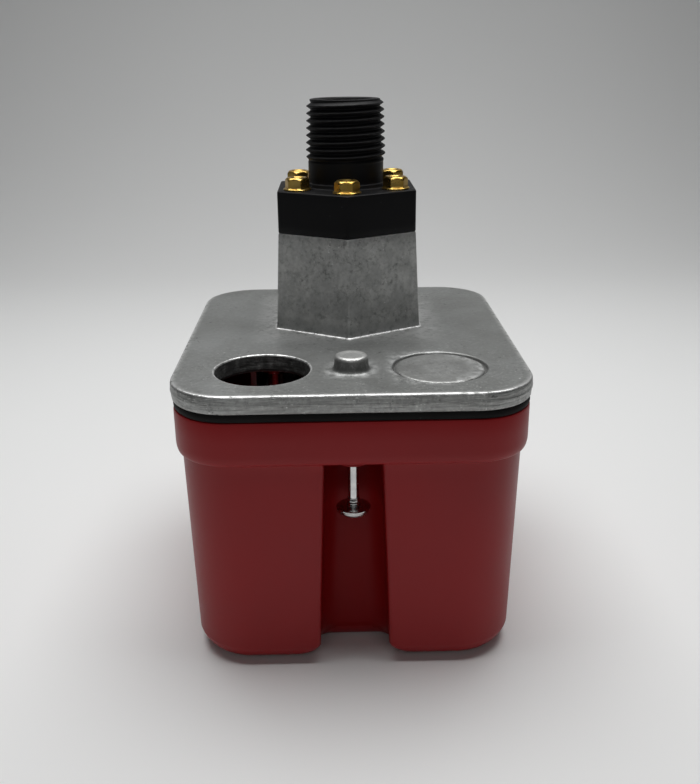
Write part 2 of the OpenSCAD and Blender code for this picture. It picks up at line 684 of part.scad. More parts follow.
cover();
cover_gasket();
cover_screw();
screw_collar();
base_casting();
port_fitting();
flange_screws();
diaphragm();
piston();
thrust_beam();
beam_screw();
guide_bush();
mechanism_bracket();
bracket_screws();
lever_pivot_pin();
pivot_clips();
ground_screw();
ground_washer();
insulating_barrier();
switch_screws();
switch_nuts();
stud_end_nuts();
lever(LEFT);  // lever_left
adjusting_stud(LEFT);  // adjusting_stud_left
adjusting_knob(LEFT);  // adjusting_knob_left
spring_seat(LEFT);  // spring_seat_left
range_spring(LEFT);  // range_spring_left
switch_case(LEFT);  // switch_case_left
switch_lid(LEFT);  // switch_lid_left
switch_plunger(LEFT);  // switch_plunger_left
terminals(LEFT);  // terminals_left
clamp_plates(LEFT);  // clamp_plates_left
terminal_screws(LEFT);  // terminal_screws_left
lever(RIGHT);  // lever_right
adjusting_stud(RIGHT);  // adjusting_stud_right
adjusting_knob(RIGHT);  // adjusting_knob_right
spring_seat(RIGHT);  // spring_seat_right
range_spring(RIGHT);  // range_spring_right
switch_case(RIGHT);  // switch_case_right
switch_lid(RIGHT);  // switch_lid_right
switch_plunger(RIGHT);  // switch_plunger_right
terminals(RIGHT);  // terminals_right
clamp_plates(RIGHT);  // clamp_plates_right
terminal_screws(RIGHT);  // terminal_screws_right
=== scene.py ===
import json
import math

import bmesh
import bpy
import numpy as np
from mathutils import Matrix, Vector

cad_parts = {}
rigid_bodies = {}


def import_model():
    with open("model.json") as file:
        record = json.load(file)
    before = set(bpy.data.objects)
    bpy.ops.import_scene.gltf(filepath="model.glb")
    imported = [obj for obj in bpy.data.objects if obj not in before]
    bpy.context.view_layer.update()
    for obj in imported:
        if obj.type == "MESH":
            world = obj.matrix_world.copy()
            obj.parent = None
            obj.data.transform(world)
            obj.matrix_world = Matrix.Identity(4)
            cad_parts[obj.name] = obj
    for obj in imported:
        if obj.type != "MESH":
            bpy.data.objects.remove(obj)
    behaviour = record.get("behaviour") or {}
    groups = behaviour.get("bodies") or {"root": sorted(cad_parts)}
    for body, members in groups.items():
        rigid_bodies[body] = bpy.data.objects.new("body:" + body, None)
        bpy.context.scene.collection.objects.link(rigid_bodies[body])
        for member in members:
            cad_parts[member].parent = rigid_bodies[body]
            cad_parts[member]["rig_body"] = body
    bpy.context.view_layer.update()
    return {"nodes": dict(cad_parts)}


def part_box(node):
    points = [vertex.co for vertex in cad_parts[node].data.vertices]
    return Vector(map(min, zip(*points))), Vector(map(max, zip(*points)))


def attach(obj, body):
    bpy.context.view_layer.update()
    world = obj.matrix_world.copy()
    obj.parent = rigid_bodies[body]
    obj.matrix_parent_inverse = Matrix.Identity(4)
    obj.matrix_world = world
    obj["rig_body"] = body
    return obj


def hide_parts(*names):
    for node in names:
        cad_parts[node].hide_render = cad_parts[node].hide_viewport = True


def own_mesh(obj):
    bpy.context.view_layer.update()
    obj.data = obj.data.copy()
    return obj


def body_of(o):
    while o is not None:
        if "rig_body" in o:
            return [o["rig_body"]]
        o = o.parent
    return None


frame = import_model()

MM = 0.001
TAU = 2 * math.pi


def corners(node):
    """The lowest and highest corner of a CAD node, in millimetres."""
    low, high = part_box(node)
    return np.array(low) / MM, np.array(high) / MM


cover_high = corners("cover")[1]
cast_low, cast_high = corners("base_casting")
port_low, port_high = corners("port_fitting")
screw_low, screw_high = corners("cover_screw")
gasket_low, gasket_high = corners("cover_gasket")

PORT_Y = (port_low[1] + port_high[1]) / 2
PLATE_UNDER = cast_low[2]
PLATE_TOP = PLATE_UNDER + 4.35
TOWER_TOP = cast_high[2]
FLANGE_TOP = TOWER_TOP + 10.65
PORT_TOP = port_high[2]
SCREW_Y = (screw_low[1] + screw_high[1]) / 2

# ------------------------------------------------------------------ surfaces


class Surface:
    """A closed surface gathered from grids of points and flat caps, in millimetres."""

    def __init__(self):
        self.points, self.quads, self.caps, self.count = [], [], [], 0

    def add(self, grid, wrap=True, skip=None, cap_first=False, cap_last=False):
        """Joins each row of the grid to the next, point by point; wrap joins a row's end to its start."""
        grid = np.asarray(grid, float)
        rows, cols = grid.shape[:2]
        index = np.arange(rows * cols).reshape(rows, cols) + self.count
        nxt = np.roll(index, -1, axis=1) if wrap else index[:, 1:]
        here = index if wrap else index[:, :-1]
        quads = np.stack([here[:-1], nxt[:-1], nxt[1:], here[1:]], axis=-1)
        keep = np.ones(quads.shape[:2], bool) if skip is None else ~skip
        self.quads.append(quads[keep])
        if cap_first:
            self.caps.append(index[0][::-1].tolist())
        if cap_last:
            self.caps.append(index[-1].tolist())
        self.points.append(grid.reshape(-1, 3))
        self.count += rows * cols

    def build(self, name, material):
        """One mesh object: doubles merged, normals turned outwards, smooth but for edges over 40
        degrees."""
        mesh = bpy.data.meshes.new(name)
        faces = np.concatenate(self.quads).tolist() + self.caps
        mesh.from_pydata((np.concatenate(self.points) * MM).tolist(), [], faces)
        work = bmesh.new()
        work.from_mesh(mesh)
        bmesh.ops.remove_doubles(work, verts=work.verts, dist=2e-6)
        bmesh.ops.dissolve_degenerate(work, edges=work.edges, dist=1e-7)
        bmesh.ops.recalc_face_normals(work, faces=work.faces)
        work.to_mesh(mesh)
        work.free()
        return finish_mesh(mesh, name, material)


def finish_mesh(mesh, name, material):
    """Makes the mesh an object with its material, smooth but for edges over 40 degrees."""
    mesh.polygons.foreach_set("use_smooth", np.ones(len(mesh.polygons), bool))
    mesh.set_sharp_from_angle(angle=math.radians(40))
    piece = bpy.data.objects.new(name, mesh)
    bpy.context.scene.collection.objects.link(piece)
    mesh.materials.append(material)
    return piece


def place(piece, body, slot, *nodes):
    """Hangs the piece on its body and names the CAD nodes that it replaces, which it hides; slot is not
    used.
    """
    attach(piece, body)
    if nodes:
        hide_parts(*nodes)
    return piece


def paint(piece, **shares):
    """Stores a named share from 0 to 1 at each vertex, worked out from the vertices' places in
    millimetres."""
    mesh = piece.data
    flat = np.empty(len(mesh.vertices) * 3)
    mesh.vertices.foreach_get("co", flat)
    places = flat.reshape(-1, 3) / MM
    for name, share in shares.items():
        layer = mesh.attributes.new(name, "FLOAT", "POINT")
        layer.data.foreach_set("value", np.clip(share(places), 0, 1))


def turned(profile, centre=(0, 0), sides=96, radius=None):
    """A profile of (radius, height) pairs carried round a vertical axis; radius(angle, r, z) may shape
    it."""
    profile = np.asarray(profile, float)
    angle = np.arange(sides) * TAU / sides
    r = np.repeat(profile[:, :1], sides, axis=1)
    z = np.repeat(profile[:, 1:2], sides, axis=1)
    if radius is not None:
        r = radius(angle[None, :], r, z)
    return np.stack([centre[0] + r * np.cos(angle), centre[1] + r * np.sin(angle), z], axis=-1)


def hexagon_reach(angle, flat, corner):
    """Distance to the side of a hexagon whose flats are flat away, with corners rounded to radius corner.
    On a flat it is flat / cos(a), with a the angle from the flat's middle; past the tangent point it is the
    far crossing of the ray with the corner's circle."""
    a = np.abs((angle + TAU / 12) % (TAU / 6) - TAU / 12)
    centre = (flat - corner) / math.cos(TAU / 12)
    tangent = math.atan2((flat - corner) * math.tan(TAU / 12), flat)
    b = TAU / 12 - a
    round_part = centre * np.cos(b) + np.sqrt(np.maximum(corner ** 2 - (centre * np.sin(b)) ** 2, 0))
    return np.where(a < tangent, flat / np.cos(np.minimum(a, TAU / 12)), round_part)


# ------------------------------------------------------------------ materials


class Finish:
    """A node material on object coordinates, built step by step."""

    def __init__(self, name, **values):
        self.material = bpy.data.materials.new(name)
        self.material.use_nodes = True
        self.nodes = self.material.node_tree.nodes
        self.links = self.material.node_tree.links
        self.shader = self.nodes["Principled BSDF"]
        for key, value in values.items():
            self.shader.inputs[key.replace("_", " ")].default_value = value
        self.coordinates = self.nodes.new("ShaderNodeTexCoord").outputs["Object"]

    def texture(self, kind, scale, stretch):
        """A texture read at the object's coordinates, squeezed along each axis by stretch."""
        node = self.nodes.new(kind)
        node.inputs["Scale"].default_value = scale
        mapping = self.nodes.new("ShaderNodeMapping")
        mapping.inputs["Scale"].default_value = stretch
        self.links.new(self.coordinates, mapping.inputs["Vector"])
        self.links.new(mapping.outputs["Vector"], node.inputs["Vector"])
        return node

    def noise(self, scale, detail=4, roughness=0.55, stretch=(1, 1, 1), distortion=0):
        """Cloudy noise from 0 to 1."""
        node = self.texture("ShaderNodeTexNoise", scale, stretch)
        node.inputs["Detail"].default_value = detail
        node.inputs["Roughness"].default_value = roughness
        node.inputs["Distortion"].default_value = distortion
        return node.outputs["Fac"]

    def specks(self, scale):
        """Distance to the nearest of scattered points, small at each point."""
        return self.texture("ShaderNodeTexVoronoi", scale, (1, 1, 1)).outputs["Distance"]

    def levels(self, value, low, high, to_low=0.0, to_high=1.0):
        """Carries low to high over to to_low to to_high in a straight line, and stops at both ends."""
        node = self.nodes.new("ShaderNodeMapRange")
        for key, number in (("From Min", low), ("From Max", high), ("To Min", to_low), ("To Max", to_high)):
            node.inputs[key].default_value = number
        self.links.new(value, node.inputs["Value"])
        return node.outputs["Result"]

    def math(self, operation, a, b=0.0, c=0.0):
        """One sum on sockets or plain numbers."""
        node = self.nodes.new("ShaderNodeMath")
        node.operation = operation
        for socket, item in zip(node.inputs, (a, b, c)):
            if isinstance(item, (int, float)):
                socket.default_value = item
            else:
                self.links.new(item, socket)
        return node.outputs[0]

    def mix(self, factor, a, b):
        """Goes from colour a to colour b as the factor goes from 0 to 1."""
        node = self.nodes.new("ShaderNodeMix")
        node.data_type = "RGBA"
        self.links.new(factor, node.inputs["Factor"])
        for socket, item in ((node.inputs[6], a), (node.inputs[7], b)):
            if isinstance(item, tuple):
                socket.default_value = (*item, 1)
            else:
                self.links.new(item, socket)
        return node.outputs[2]

    def axis(self, name):
        """One coordinate, in metres."""
        node = self.nodes.new("ShaderNodeSeparateXYZ")
        self.links.new(self.coordinates, node.inputs[0])
        return node.outputs[name]

    def painted(self, name):
        """A share from 0 to 1 that the piece's own vertices carry."""
        node = self.nodes.new("ShaderNodeAttribute")
        node.attribute_name = name
        return node.outputs["Fac"]

    def colour(self, output):
        """Links the base colour."""
        self.links.new(output, self.shader.inputs["Base Color"])

    def rough(self, output):
        """Links the roughness."""
        self.links.new(output, self.shader.inputs["Roughness"])

    def bump(self, *heights):
        """Each height is (output, depth in metres); they add up."""
        total = None
        for output, depth in heights:
            scaled = self.math("MULTIPLY", output, depth)
            total = scaled if total is None else self.math("ADD", total, scaled)
        node = self.nodes.new("ShaderNodeBump")
        node.inputs["Strength"].default_value = 1.0
        node.inputs["Distance"].default_value = 1.0
        self.links.new(total, node.inputs["Height"])
        self.links.new(node.outputs["Normal"], self.shader.inputs["Normal"])


def red_cover_finish(name, dark, light, shine):
    """Red moulding with a faint cloud in its colour, a fine grain and a slight ripple."""
    f = Finish(name, Roughness=0.4, Specular_IOR_Level=shine)
    cloud = f.noise(35, 3)
    grain = f.noise(900, 3)
    f.colour(f.mix(f.levels(cloud, 0.3, 0.7), dark, light))
    f.rough(f.levels(f.math("ADD", cloud, f.math("MULTIPLY", grain, 0.4)), 0.5, 0.9, 0.36, 0.46))
    f.bump((f.noise(1400, 2), 2.5e-6), (f.noise(160, 2), 6e-6))
    return f.material


def casting_finish():
    """Cloudy cast metal with a fine light and dark grain, bright flecks, dark pits and streaks along the
    plate's edge; painted light lightens the tower and the plate's side faces, bright edge lines are partly
    wear and partly painted highlight, some patches are paler, and painted shade darkens the hole's wall,
    the ring groove and the boss's sides, with a darker ring round the boss."""
    f = Finish("die_cast_metal", Metallic=0.8, Roughness=0.45)
    cloud = f.noise(45, 6, 0.62, distortion=0.6)
    grain = f.noise(900, 5, 0.7)
    patch = f.noise(170, 4, 0.6)
    fleck = f.math("MULTIPLY", f.levels(f.noise(1500, 2, 0.5), 0.64, 0.72), f.levels(patch, 0.42, 0.62))
    pit = f.math("MULTIPLY", f.levels(f.noise(1150, 2, 0.5), 0.36, 0.29),
                 f.levels(f.noise(130, 3), 0.45, 0.6))
    layers = f.levels(f.noise(160, 4, 0.65, (1, 1, 9)), 0.38, 0.64)
    height = f.axis("Z")
    on_edge = f.math("MULTIPLY", f.levels(height, 0.06652, 0.06662), f.levels(height, 0.0708, 0.0707))
    tower = f.levels(height, 0.0722, 0.0745)
    worn = f.math("MAXIMUM", tower, f.levels(f.axis("Y"), 0.0, -0.035))
    worn = f.math("MULTIPLY_ADD", worn, 0.75, 0.25)
    fleck = f.math("MULTIPLY", fleck, worn)
    pit = f.math("MULTIPLY", pit, f.levels(height, 0.0745, 0.0722, 0.25, 1.0))
    mottle = f.math("MULTIPLY", f.levels(f.noise(260, 3, 0.6), 0.46, 0.66), tower)
    base = f.mix(f.levels(cloud, 0.32, 0.68), (0.25, 0.255, 0.246), (0.358, 0.367, 0.362))
    # Painted light: the tower's sides and everything from about the boss's top height upwards are lightened
    # so that they look more brightly lit.
    base = f.mix(f.math("MULTIPLY", tower, 0.36), base, (0.8, 0.8, 0.78))
    base = f.mix(f.math("MULTIPLY", mottle, 0.4), base, (0.85, 0.85, 0.82))
    # Painted light: the plate's side faces, and everything else between its underside and top, are
    # lightened a little so that they look more brightly lit.
    base = f.mix(f.math("MULTIPLY", on_edge, 0.18), base, (0.8, 0.8, 0.78))
    darker = f.math("MULTIPLY", f.math("MULTIPLY", f.levels(grain, 0.5, 0.36), f.levels(patch, 0.3, 0.7)),
                    worn)
    base = f.mix(f.math("MULTIPLY", darker, 0.8), base, (0.17, 0.172, 0.165))
    base = f.mix(f.math("MULTIPLY", f.math("MULTIPLY", f.levels(grain, 0.54, 0.7), 0.5), worn), base,
                 (0.66, 0.665, 0.655))
    base = f.mix(f.math("MULTIPLY", f.math("MULTIPLY", layers, on_edge), 0.45), base, (0.16, 0.16, 0.155))
    base = f.mix(f.math("MULTIPLY", fleck, 0.75), base, (0.85, 0.85, 0.84))
    base = f.mix(f.math("MULTIPLY", pit, 0.8), base, (0.05, 0.05, 0.05))
    # Paler cloudy patches where the pale share is painted.
    pale_patch = f.math("MULTIPLY", f.painted("pale"), f.levels(f.noise(480, 4, 0.65), 0.42, 0.6))
    base = f.mix(f.math("MULTIPLY", pale_patch, 0.75), base, (0.78, 0.79, 0.78))
    # Painted shade in the open hole, the ring groove and on the boss's sides, and a darker ring round the
    # boss; it also roughens.
    grime = f.math("MULTIPLY", f.painted("grime"), f.levels(f.noise(650, 3, 0.6), 0.25, 0.55, 0.55, 1.0))
    base = f.mix(grime, base, (0.035, 0.035, 0.034))
    # Bright edge lines, partly wear and partly painted highlight.
    rub = f.math("MULTIPLY", f.painted("rub"), f.levels(f.noise(700, 3, 0.6), 0.33, 0.52))
    base = f.mix(rub, base, (0.95, 0.95, 0.94))
    f.colour(base)
    f.rough(f.math("ADD", f.levels(grain, 0.3, 0.7, 0.5, 0.36), f.math("MULTIPLY", grime, 0.3)))
    f.bump((f.math("MULTIPLY", grain, worn), 3e-5), (f.noise(120, 3), 3e-5), (patch, 1.8e-5), (pit, -2e-5),
           (f.math("MULTIPLY", layers, on_edge), -6e-5))
    return f.material


def black_moulding_finish(name, tint=(0.0035, 0.0035, 0.0042), rough=(0.42, 0.6)):
    """Black moulding or rubber with a little pale dust and a fine grain."""
    f = Finish(name, Roughness=0.5, Specular_IOR_Level=0.18)
    cloud = f.noise(60, 4)
    dust = f.math("MULTIPLY", f.levels(f.specks(600), 0.0, 0.12, 1, 0),
                  f.levels(f.noise(150, 2), 0.56, 0.66))
    f.colour(f.mix(f.math("MULTIPLY", dust, 0.5), tint, (0.12, 0.12, 0.12)))
    f.rough(f.levels(cloud, 0.3, 0.7, *rough))
    f.bump((f.noise(1100, 3), 5e-6), (f.noise(200, 2), 8e-6))
    return f.material


def metal_finish(name, low, high, rough=(0.25, 0.4), scale=250, stretch=(1, 1, 1), depth=3e-6):
    """Plated or turned metal: cloudy between two tints, with a grain that may run along an axis."""
    f = Finish(name, Metallic=1.0, Roughness=0.3)
    cloud = f.noise(scale, 4, 0.6, stretch)
    f.colour(f.mix(f.levels(cloud, 0.35, 0.65), low, high))
    f.rough(f.levels(f.noise(scale * 2.3, 3, 0.5, stretch), 0.3, 0.7, *rough))
    f.bump((f.noise(scale * 6, 3, 0.5, stretch), depth))
    return f.material


def plain_moulding_finish(name, low, high, rough=(0.4, 0.55)):
    """Paint, fibre or moulding that is cloudy between two tints."""
    f = Finish(name, Roughness=0.45)
    f.colour(f.mix(f.levels(f.noise(120, 4), 0.3, 0.7), low, high))
    f.rough(f.levels(f.noise(300, 3), 0.3, 0.7, *rough))
    f.bump((f.noise(900, 3), 6e-6))
    return f.material


RED = red_cover_finish("red_moulding", (0.265, 0.006, 0.008), (0.295, 0.008, 0.010), 0.3)
# A darker, less shiny copy of the red for the groove's faces: painted shade in the recess.
RED_SHADED = red_cover_finish("red_moulding_painted_shade", (0.215, 0.004, 0.005), (0.24, 0.005, 0.006), 0.12)
CAST = casting_finish()
BLACK = black_moulding_finish("black_nylon")
GASKET = black_moulding_finish("black_rubber", (0.004, 0.0035, 0.0035), (0.6, 0.75))
YELLOW_ZINC = metal_finish("yellow_zinc", (0.55, 0.34, 0.07), (0.74, 0.52, 0.16), (0.24, 0.36), 120,
                           depth=1e-6)
BRIGHT = metal_finish("bright_zinc", (0.55, 0.56, 0.56), (0.72, 0.72, 0.71), (0.14, 0.28), 400)
STEEL = metal_finish("zinc_plated_sheet", (0.42, 0.43, 0.44), (0.58, 0.58, 0.57), (0.28, 0.42), 200,
                     (1, 6, 1))
WIRE = metal_finish("drawn_spring_wire", (0.3, 0.31, 0.33), (0.45, 0.46, 0.47), (0.25, 0.36), 500)
BRASS = metal_finish("turned_brass", (0.62, 0.42, 0.13), (0.78, 0.56, 0.22), (0.22, 0.36), 350, (1, 1, 5))
GREEN = plain_moulding_finish("green_paint", (0.02, 0.17, 0.04), (0.03, 0.24, 0.06), (0.25, 0.4))
FIBRE = plain_moulding_finish("insulating_sheet", (0.5, 0.47, 0.38), (0.62, 0.59, 0.5), (0.5, 0.65))
CASE = black_moulding_finish("switch_case_moulding", (0.014, 0.013, 0.013), (0.35, 0.5))
LID = plain_moulding_finish("brown_phenolic", (0.05, 0.022, 0.013), (0.075, 0.035, 0.022), (0.35, 0.5))
BUTTON = plain_moulding_finish("red_button", (0.35, 0.012, 0.012), (0.45, 0.02, 0.018), (0.3, 0.4))
RUBBER = black_moulding_finish("diaphragm_rubber", (0.015, 0.015, 0.015), (0.55, 0.7))

# ------------------------------------------------------------------ cover

RIM_HW, RIM_HD = cover_high[0], cover_high[1]
COVER_TOP = cover_high[2]
RIM_UNDER = COVER_TOP - 10.6
RIM_CORNER = 13.55
BODY_HW, BODY_HD = RIM_HW - 0.7, RIM_HD - 0.7
DRAFT = 1.5
EDGE_R = 6.0
WALL = 2.4
GROOVE_TOP_HW, GROOVE_BOTTOM_HW = 6.6, 8.5
GROOVE_BACK = -33.0
BOSS_REACH, BOSS_DROP, SCREW_HOLE = 4.0, 1.37, 1.85


def cover_outline(hw, hd, corner, groove_hw, groove_y, mouth, back, grow=0.0):
    """A rounded rectangle with a round-cornered slot in its front, as one loop: at each corner an arc from
    the way in to the way out, and straight stretches between them. The last three stretches are the
    slot."""
    g = groove_hw + grow
    y = groove_y + grow
    stations = [((g, -hd), mouth, 6, 10), ((hw, -hd), corner, 18, 24), ((hw, hd), corner, 18, 24),
                ((-hw, hd), corner, 18, 24), ((-hw, -hd), corner, 18, 10), ((-g, -hd), mouth, 6, 8),
                ((-g, y), back, 12, 4), ((g, y), back, 12, 8)]
    loop = []
    count = len(stations)
    for i, (v, r, arc_steps, run_steps) in enumerate(stations):
        v = np.array(v)
        before = np.array(stations[i - 1][0]) - v
        after = np.array(stations[(i + 1) % count][0]) - v
        d0, d1 = -before / np.linalg.norm(before), after / np.linalg.norm(after)
        a = np.linspace(0, math.pi / 2, arc_steps + 1)[:, None]
        loop.append(v - d0 * r + d1 * r + r * (d0 * np.sin(a) - d1 * np.cos(a)))
        start = v + d1 * r
        end = np.array(stations[(i + 1) % count][0]) - d1 * stations[(i + 1) % count][1]
        t = np.linspace(0, 1, run_steps + 2)[1:-1, None]
        loop.append(start + (end - start) * t)
    return np.concatenate(loop)


SLOT_START = 7 + 10 + (19 + 24) * 3 + 19 + 10
OUTLINE_COUNT = SLOT_START + 7 + 8 + 13 + 4 + 13 + 8


def slot_closed(loop, front_y):
    """The same loop with its slot drawn out flat on the front line, its points spread evenly across the
    mouth."""
    loop = loop.copy()
    stretch = np.arange(SLOT_START, OUTLINE_COUNT + 7) % OUTLINE_COUNT
    first, last = loop[stretch[0]][0], loop[stretch[-1]][0]
    loop[stretch, 0] = np.linspace(first, last, len(stretch))
    loop[stretch, 1] = front_y
    return loop


def ring(loop, z):
    """The loop at height z."""
    return np.column_stack([loop, np.full(len(loop), z)])


def groove_hw_at(z):
    """The groove's half width at height z, a straight line from its closed end to the ledge."""
    return GROOVE_BOTTOM_HW + (GROOVE_TOP_HW - GROOVE_BOTTOM_HW) * z / RIM_UNDER


def body_ring(z, wall=0.0, floor=0.0):
    """The body's outline at height z, pulled in by its draft, its edge radius and the wall. Towards the
    closed face the slot's mouth opens with a larger radius and its back corners get tighter."""
    lift = min(max(z - floor, 0), EDGE_R)
    low = 1 - lift / EDGE_R
    arc = EDGE_R + 0.6
    edge = max(arc - 0.2 - math.sqrt(max(arc ** 2 - (arc - lift) ** 2, 0)), 0)
    pull = edge + DRAFT * (1 - z / COVER_TOP) + wall
    grow = wall + edge * 0.55
    slot_back = GROOVE_BACK - 2.2 * (1 - z / RIM_UNDER)
    depth = BODY_HD - pull + slot_back + grow
    back = min(5.5 - 2.4 * low + grow * 0.8, 0.6 * depth)
    mouth = min(1.1 + 5.0 * low ** 1.2, depth - back - 0.25)
    loop = cover_outline(BODY_HW - pull, BODY_HD - pull, 15.5 - min(pull, 7), groove_hw_at(z), slot_back,
                         mouth, back, grow)
    return ring(loop, z)


def cover_piece():
    """One closed shell: closed face, edge radius, drafted sides with the groove, ledge and rim band
    outside; rim land, inner walls, roof over the groove and floor inside."""
    s = Surface()
    outer_z = [5.0 * (1 - math.cos(a)) for a in np.linspace(0, math.pi / 2, 12)] + [5.06, 5.16, 5.6]
    outer_z += list(np.linspace(EDGE_R, RIM_UNDER - 0.3, 24)[1:])
    outer = [body_ring(z) for z in outer_z]
    lip = DRAFT * (1 - RIM_UNDER / COVER_TOP)
    for out, z in ((0.04, -0.12), (0.16, 0.0)):
        outer.append(ring(cover_outline(BODY_HW - lip + out, BODY_HD - lip + out, 15.4, GROOVE_TOP_HW - out,
                                        GROOVE_BACK - out, 1.1, 5.5 - out), RIM_UNDER + z))
    ledge = outer[-1]
    shut = ledge.copy()
    shut[:, :2] = slot_closed(ledge[:, :2], ledge[11, 1])
    s.add(np.array(outer), cap_first=True)
    rows = [shut]

    def rim_row(grow, z):
        """One loop round the rim, out by grow, with the groove's mouth shut."""
        flat = cover_outline(RIM_HW + grow, RIM_HD + grow, RIM_CORNER + grow, GROOVE_TOP_HW, GROOVE_BACK,
                             1.1, 5.5)
        rows.append(ring(slot_closed(flat, -RIM_HD - grow), z))

    for a in np.linspace(math.radians(8), math.pi / 2, 9):
        rim_row(-0.78 * (1 - math.sin(a)), RIM_UNDER + 2.6 * (1 - math.cos(a)))
    for inset, z in ((0, COVER_TOP - 5), (0, COVER_TOP - 0.5), (0.12, COVER_TOP - 0.15), (0.5, COVER_TOP)):
        rim_row(-inset, z)
    hw, hd = BODY_HW - WALL, BODY_HD - WALL
    roof = RIM_UNDER + 2.5
    for z in (COVER_TOP, COVER_TOP - 0.3, roof):
        out = 0.0 if z < COVER_TOP else -0.4
        flat = cover_outline(hw - out, hd - out, 13.1, GROOVE_TOP_HW + WALL, GROOVE_BACK + WALL, 1.1, 5.5)
        rows.append(ring(slot_closed(flat, -(hd - out)), z))
    s.add(np.array(rows))
    inner_top = body_ring(roof, WALL)
    inner = [inner_top] + [body_ring(z, WALL, WALL) for z in
                           list(np.linspace(roof - 0.6, EDGE_R + WALL, 12)) +
                           [WALL + EDGE_R * (1 - math.cos(a)) for a in np.linspace(math.pi / 2, 0, 7)[1:]]]
    s.add(np.array(inner), cap_last=True)
    bridge_slot(s, ledge, shut, RIM_UNDER, -1)
    bridge_slot(s, inner_top, rows[-1], roof, 1)
    under = RIM_UNDER - BOSS_DROP
    circle = turned([(BOSS_REACH, RIM_UNDER), (BOSS_REACH, under + 0.25), (BOSS_REACH - 0.07, under + 0.08),
                     (BOSS_REACH - 0.3, under), (SCREW_HOLE, under), (SCREW_HOLE, roof)], (0, SCREW_Y), 48)
    s.add(circle)
    piece = s.build("cover_shell", RED)
    # The groove's faces take the darker copy of the red as painted shade.
    piece.data.materials.append(RED_SHADED)
    for face in piece.data.polygons:
        x, y, z = face.center / MM
        back = GROOVE_BACK - 2.2 * (1 - z / RIM_UNDER) + 0.3
        if abs(x) < groove_hw_at(z) + 0.15 and 1.3 - BODY_HD < y < back and z < RIM_UNDER + 0.1:
            face.material_index = 1
    return place(piece, "cover", "cover", "cover")


def bridge_slot(s, open_ring, shut_ring, z, side):
    """The flat ledge over the groove: from the loop of the slot and its mouth line to the screw hole's
    circle."""
    radius = BOSS_REACH if side < 0 else SCREW_HOLE
    slot_path = open_ring[np.arange(SLOT_START, OUTLINE_COUNT + 7) % OUTLINE_COUNT]
    mouth = shut_ring[np.arange(SLOT_START, OUTLINE_COUNT + 7) % OUTLINE_COUNT]
    keep = ~(np.isin(np.arange(OUTLINE_COUNT), np.arange(SLOT_START, OUTLINE_COUNT + 6) % OUTLINE_COUNT))
    strip = np.array([open_ring, shut_ring])
    s.add(strip, skip=~keep[None, :])
    loop = np.concatenate([slot_path, mouth[::-1]])[:, :2]
    loop = loop[np.linalg.norm(loop - np.roll(loop, 1, axis=0), axis=1) > 1e-5]
    circle_angles = np.arange(48) * TAU / 48
    work = bmesh.new()
    outer = [work.verts.new((*p[:2], z)) for p in loop]
    inner = [work.verts.new((radius * math.cos(a), SCREW_Y + radius * math.sin(a), z))
             for a in circle_angles]
    edges = [work.edges.new((outer[i], outer[(i + 1) % len(outer)])) for i in range(len(outer))]
    edges += [work.edges.new((inner[i], inner[(i + 1) % 48])) for i in range(48)]
    bmesh.ops.triangle_fill(work, edges=edges, use_beauty=True)
    work.verts.index_update()
    s.points.append(np.array([v.co[:] for v in work.verts]))
    s.caps += [[v.index + s.count for v in face.verts] for face in work.faces]
    s.count += len(work.verts)
    work.free()


# ------------------------------------------------------------------ base casting

PLATE_HW, PLATE_HD, PLATE_R = cast_high[0], cast_high[1], 14.0
KNOCKOUT_X, KNOCKOUT_Y, KNOCKOUT_R = 20.7, -29.9, 11.1
BOSS_Y, BOSS_H = -31.0, 3.7
TOWER_FLAT_BASE, TOWER_FLAT_TOP = 19.0, 17.8


def patch_loop(x0, x1, y0, y1, xs, ys):
    """The grid points along a rectangle's edge, anticlockwise from its lowest corner."""
    px = xs[(xs >= x0 - 1e-6) & (xs <= x1 + 1e-6)]
    py = ys[(ys >= y0 - 1e-6) & (ys <= y1 + 1e-6)]
    return np.concatenate([np.column_stack([px, np.full(len(px), y0)])[:-1],
                           np.column_stack([np.full(len(py), x1), py])[:-1],
                           np.column_stack([px, np.full(len(px), y1)])[::-1][:-1],
                           np.column_stack([np.full(len(py), x0), py])[::-1][:-1]])


def grid_lines(breaks, step):
    """Lines from the first break to the last, at most a step apart, through every break."""
    breaks = sorted(set(round(b, 4) for b in breaks))
    parts = [np.linspace(a, b, max(1, math.ceil((b - a) / step)) + 1)[:-1]
             for a, b in zip(breaks, breaks[1:])]
    return np.concatenate(parts + [np.array([breaks[-1]])])


def patch_rings(loop, centre, profile, reach=None):
    """Rings from a rectangle's loop in to a profile of (radius, height); reach(angle, r) shapes them."""
    centre = np.array(centre)
    rel = loop - centre
    angle = np.arctan2(rel[:, 1], rel[:, 0])
    rows = []
    for r, z in profile:
        rr = np.full(len(angle), r) if reach is None else reach(angle, r)
        rows.append(np.column_stack([centre[0] + rr * np.cos(angle), centre[1] + rr * np.sin(angle),
                                     np.full(len(angle), z)]))
    return np.array(rows)


def plate_edge(points, inset, z):
    """Points carried straight out from the plate's core to its outline, pulled in by inset."""
    core = np.array([PLATE_HW - PLATE_R, PLATE_HD - PLATE_R])
    near = np.clip(points, -core, core)
    away = points - near
    away /= np.maximum(np.linalg.norm(away, axis=1), 1e-9)[:, None]
    return np.column_stack([near + away * (PLATE_R - inset), np.full(len(points), z)])


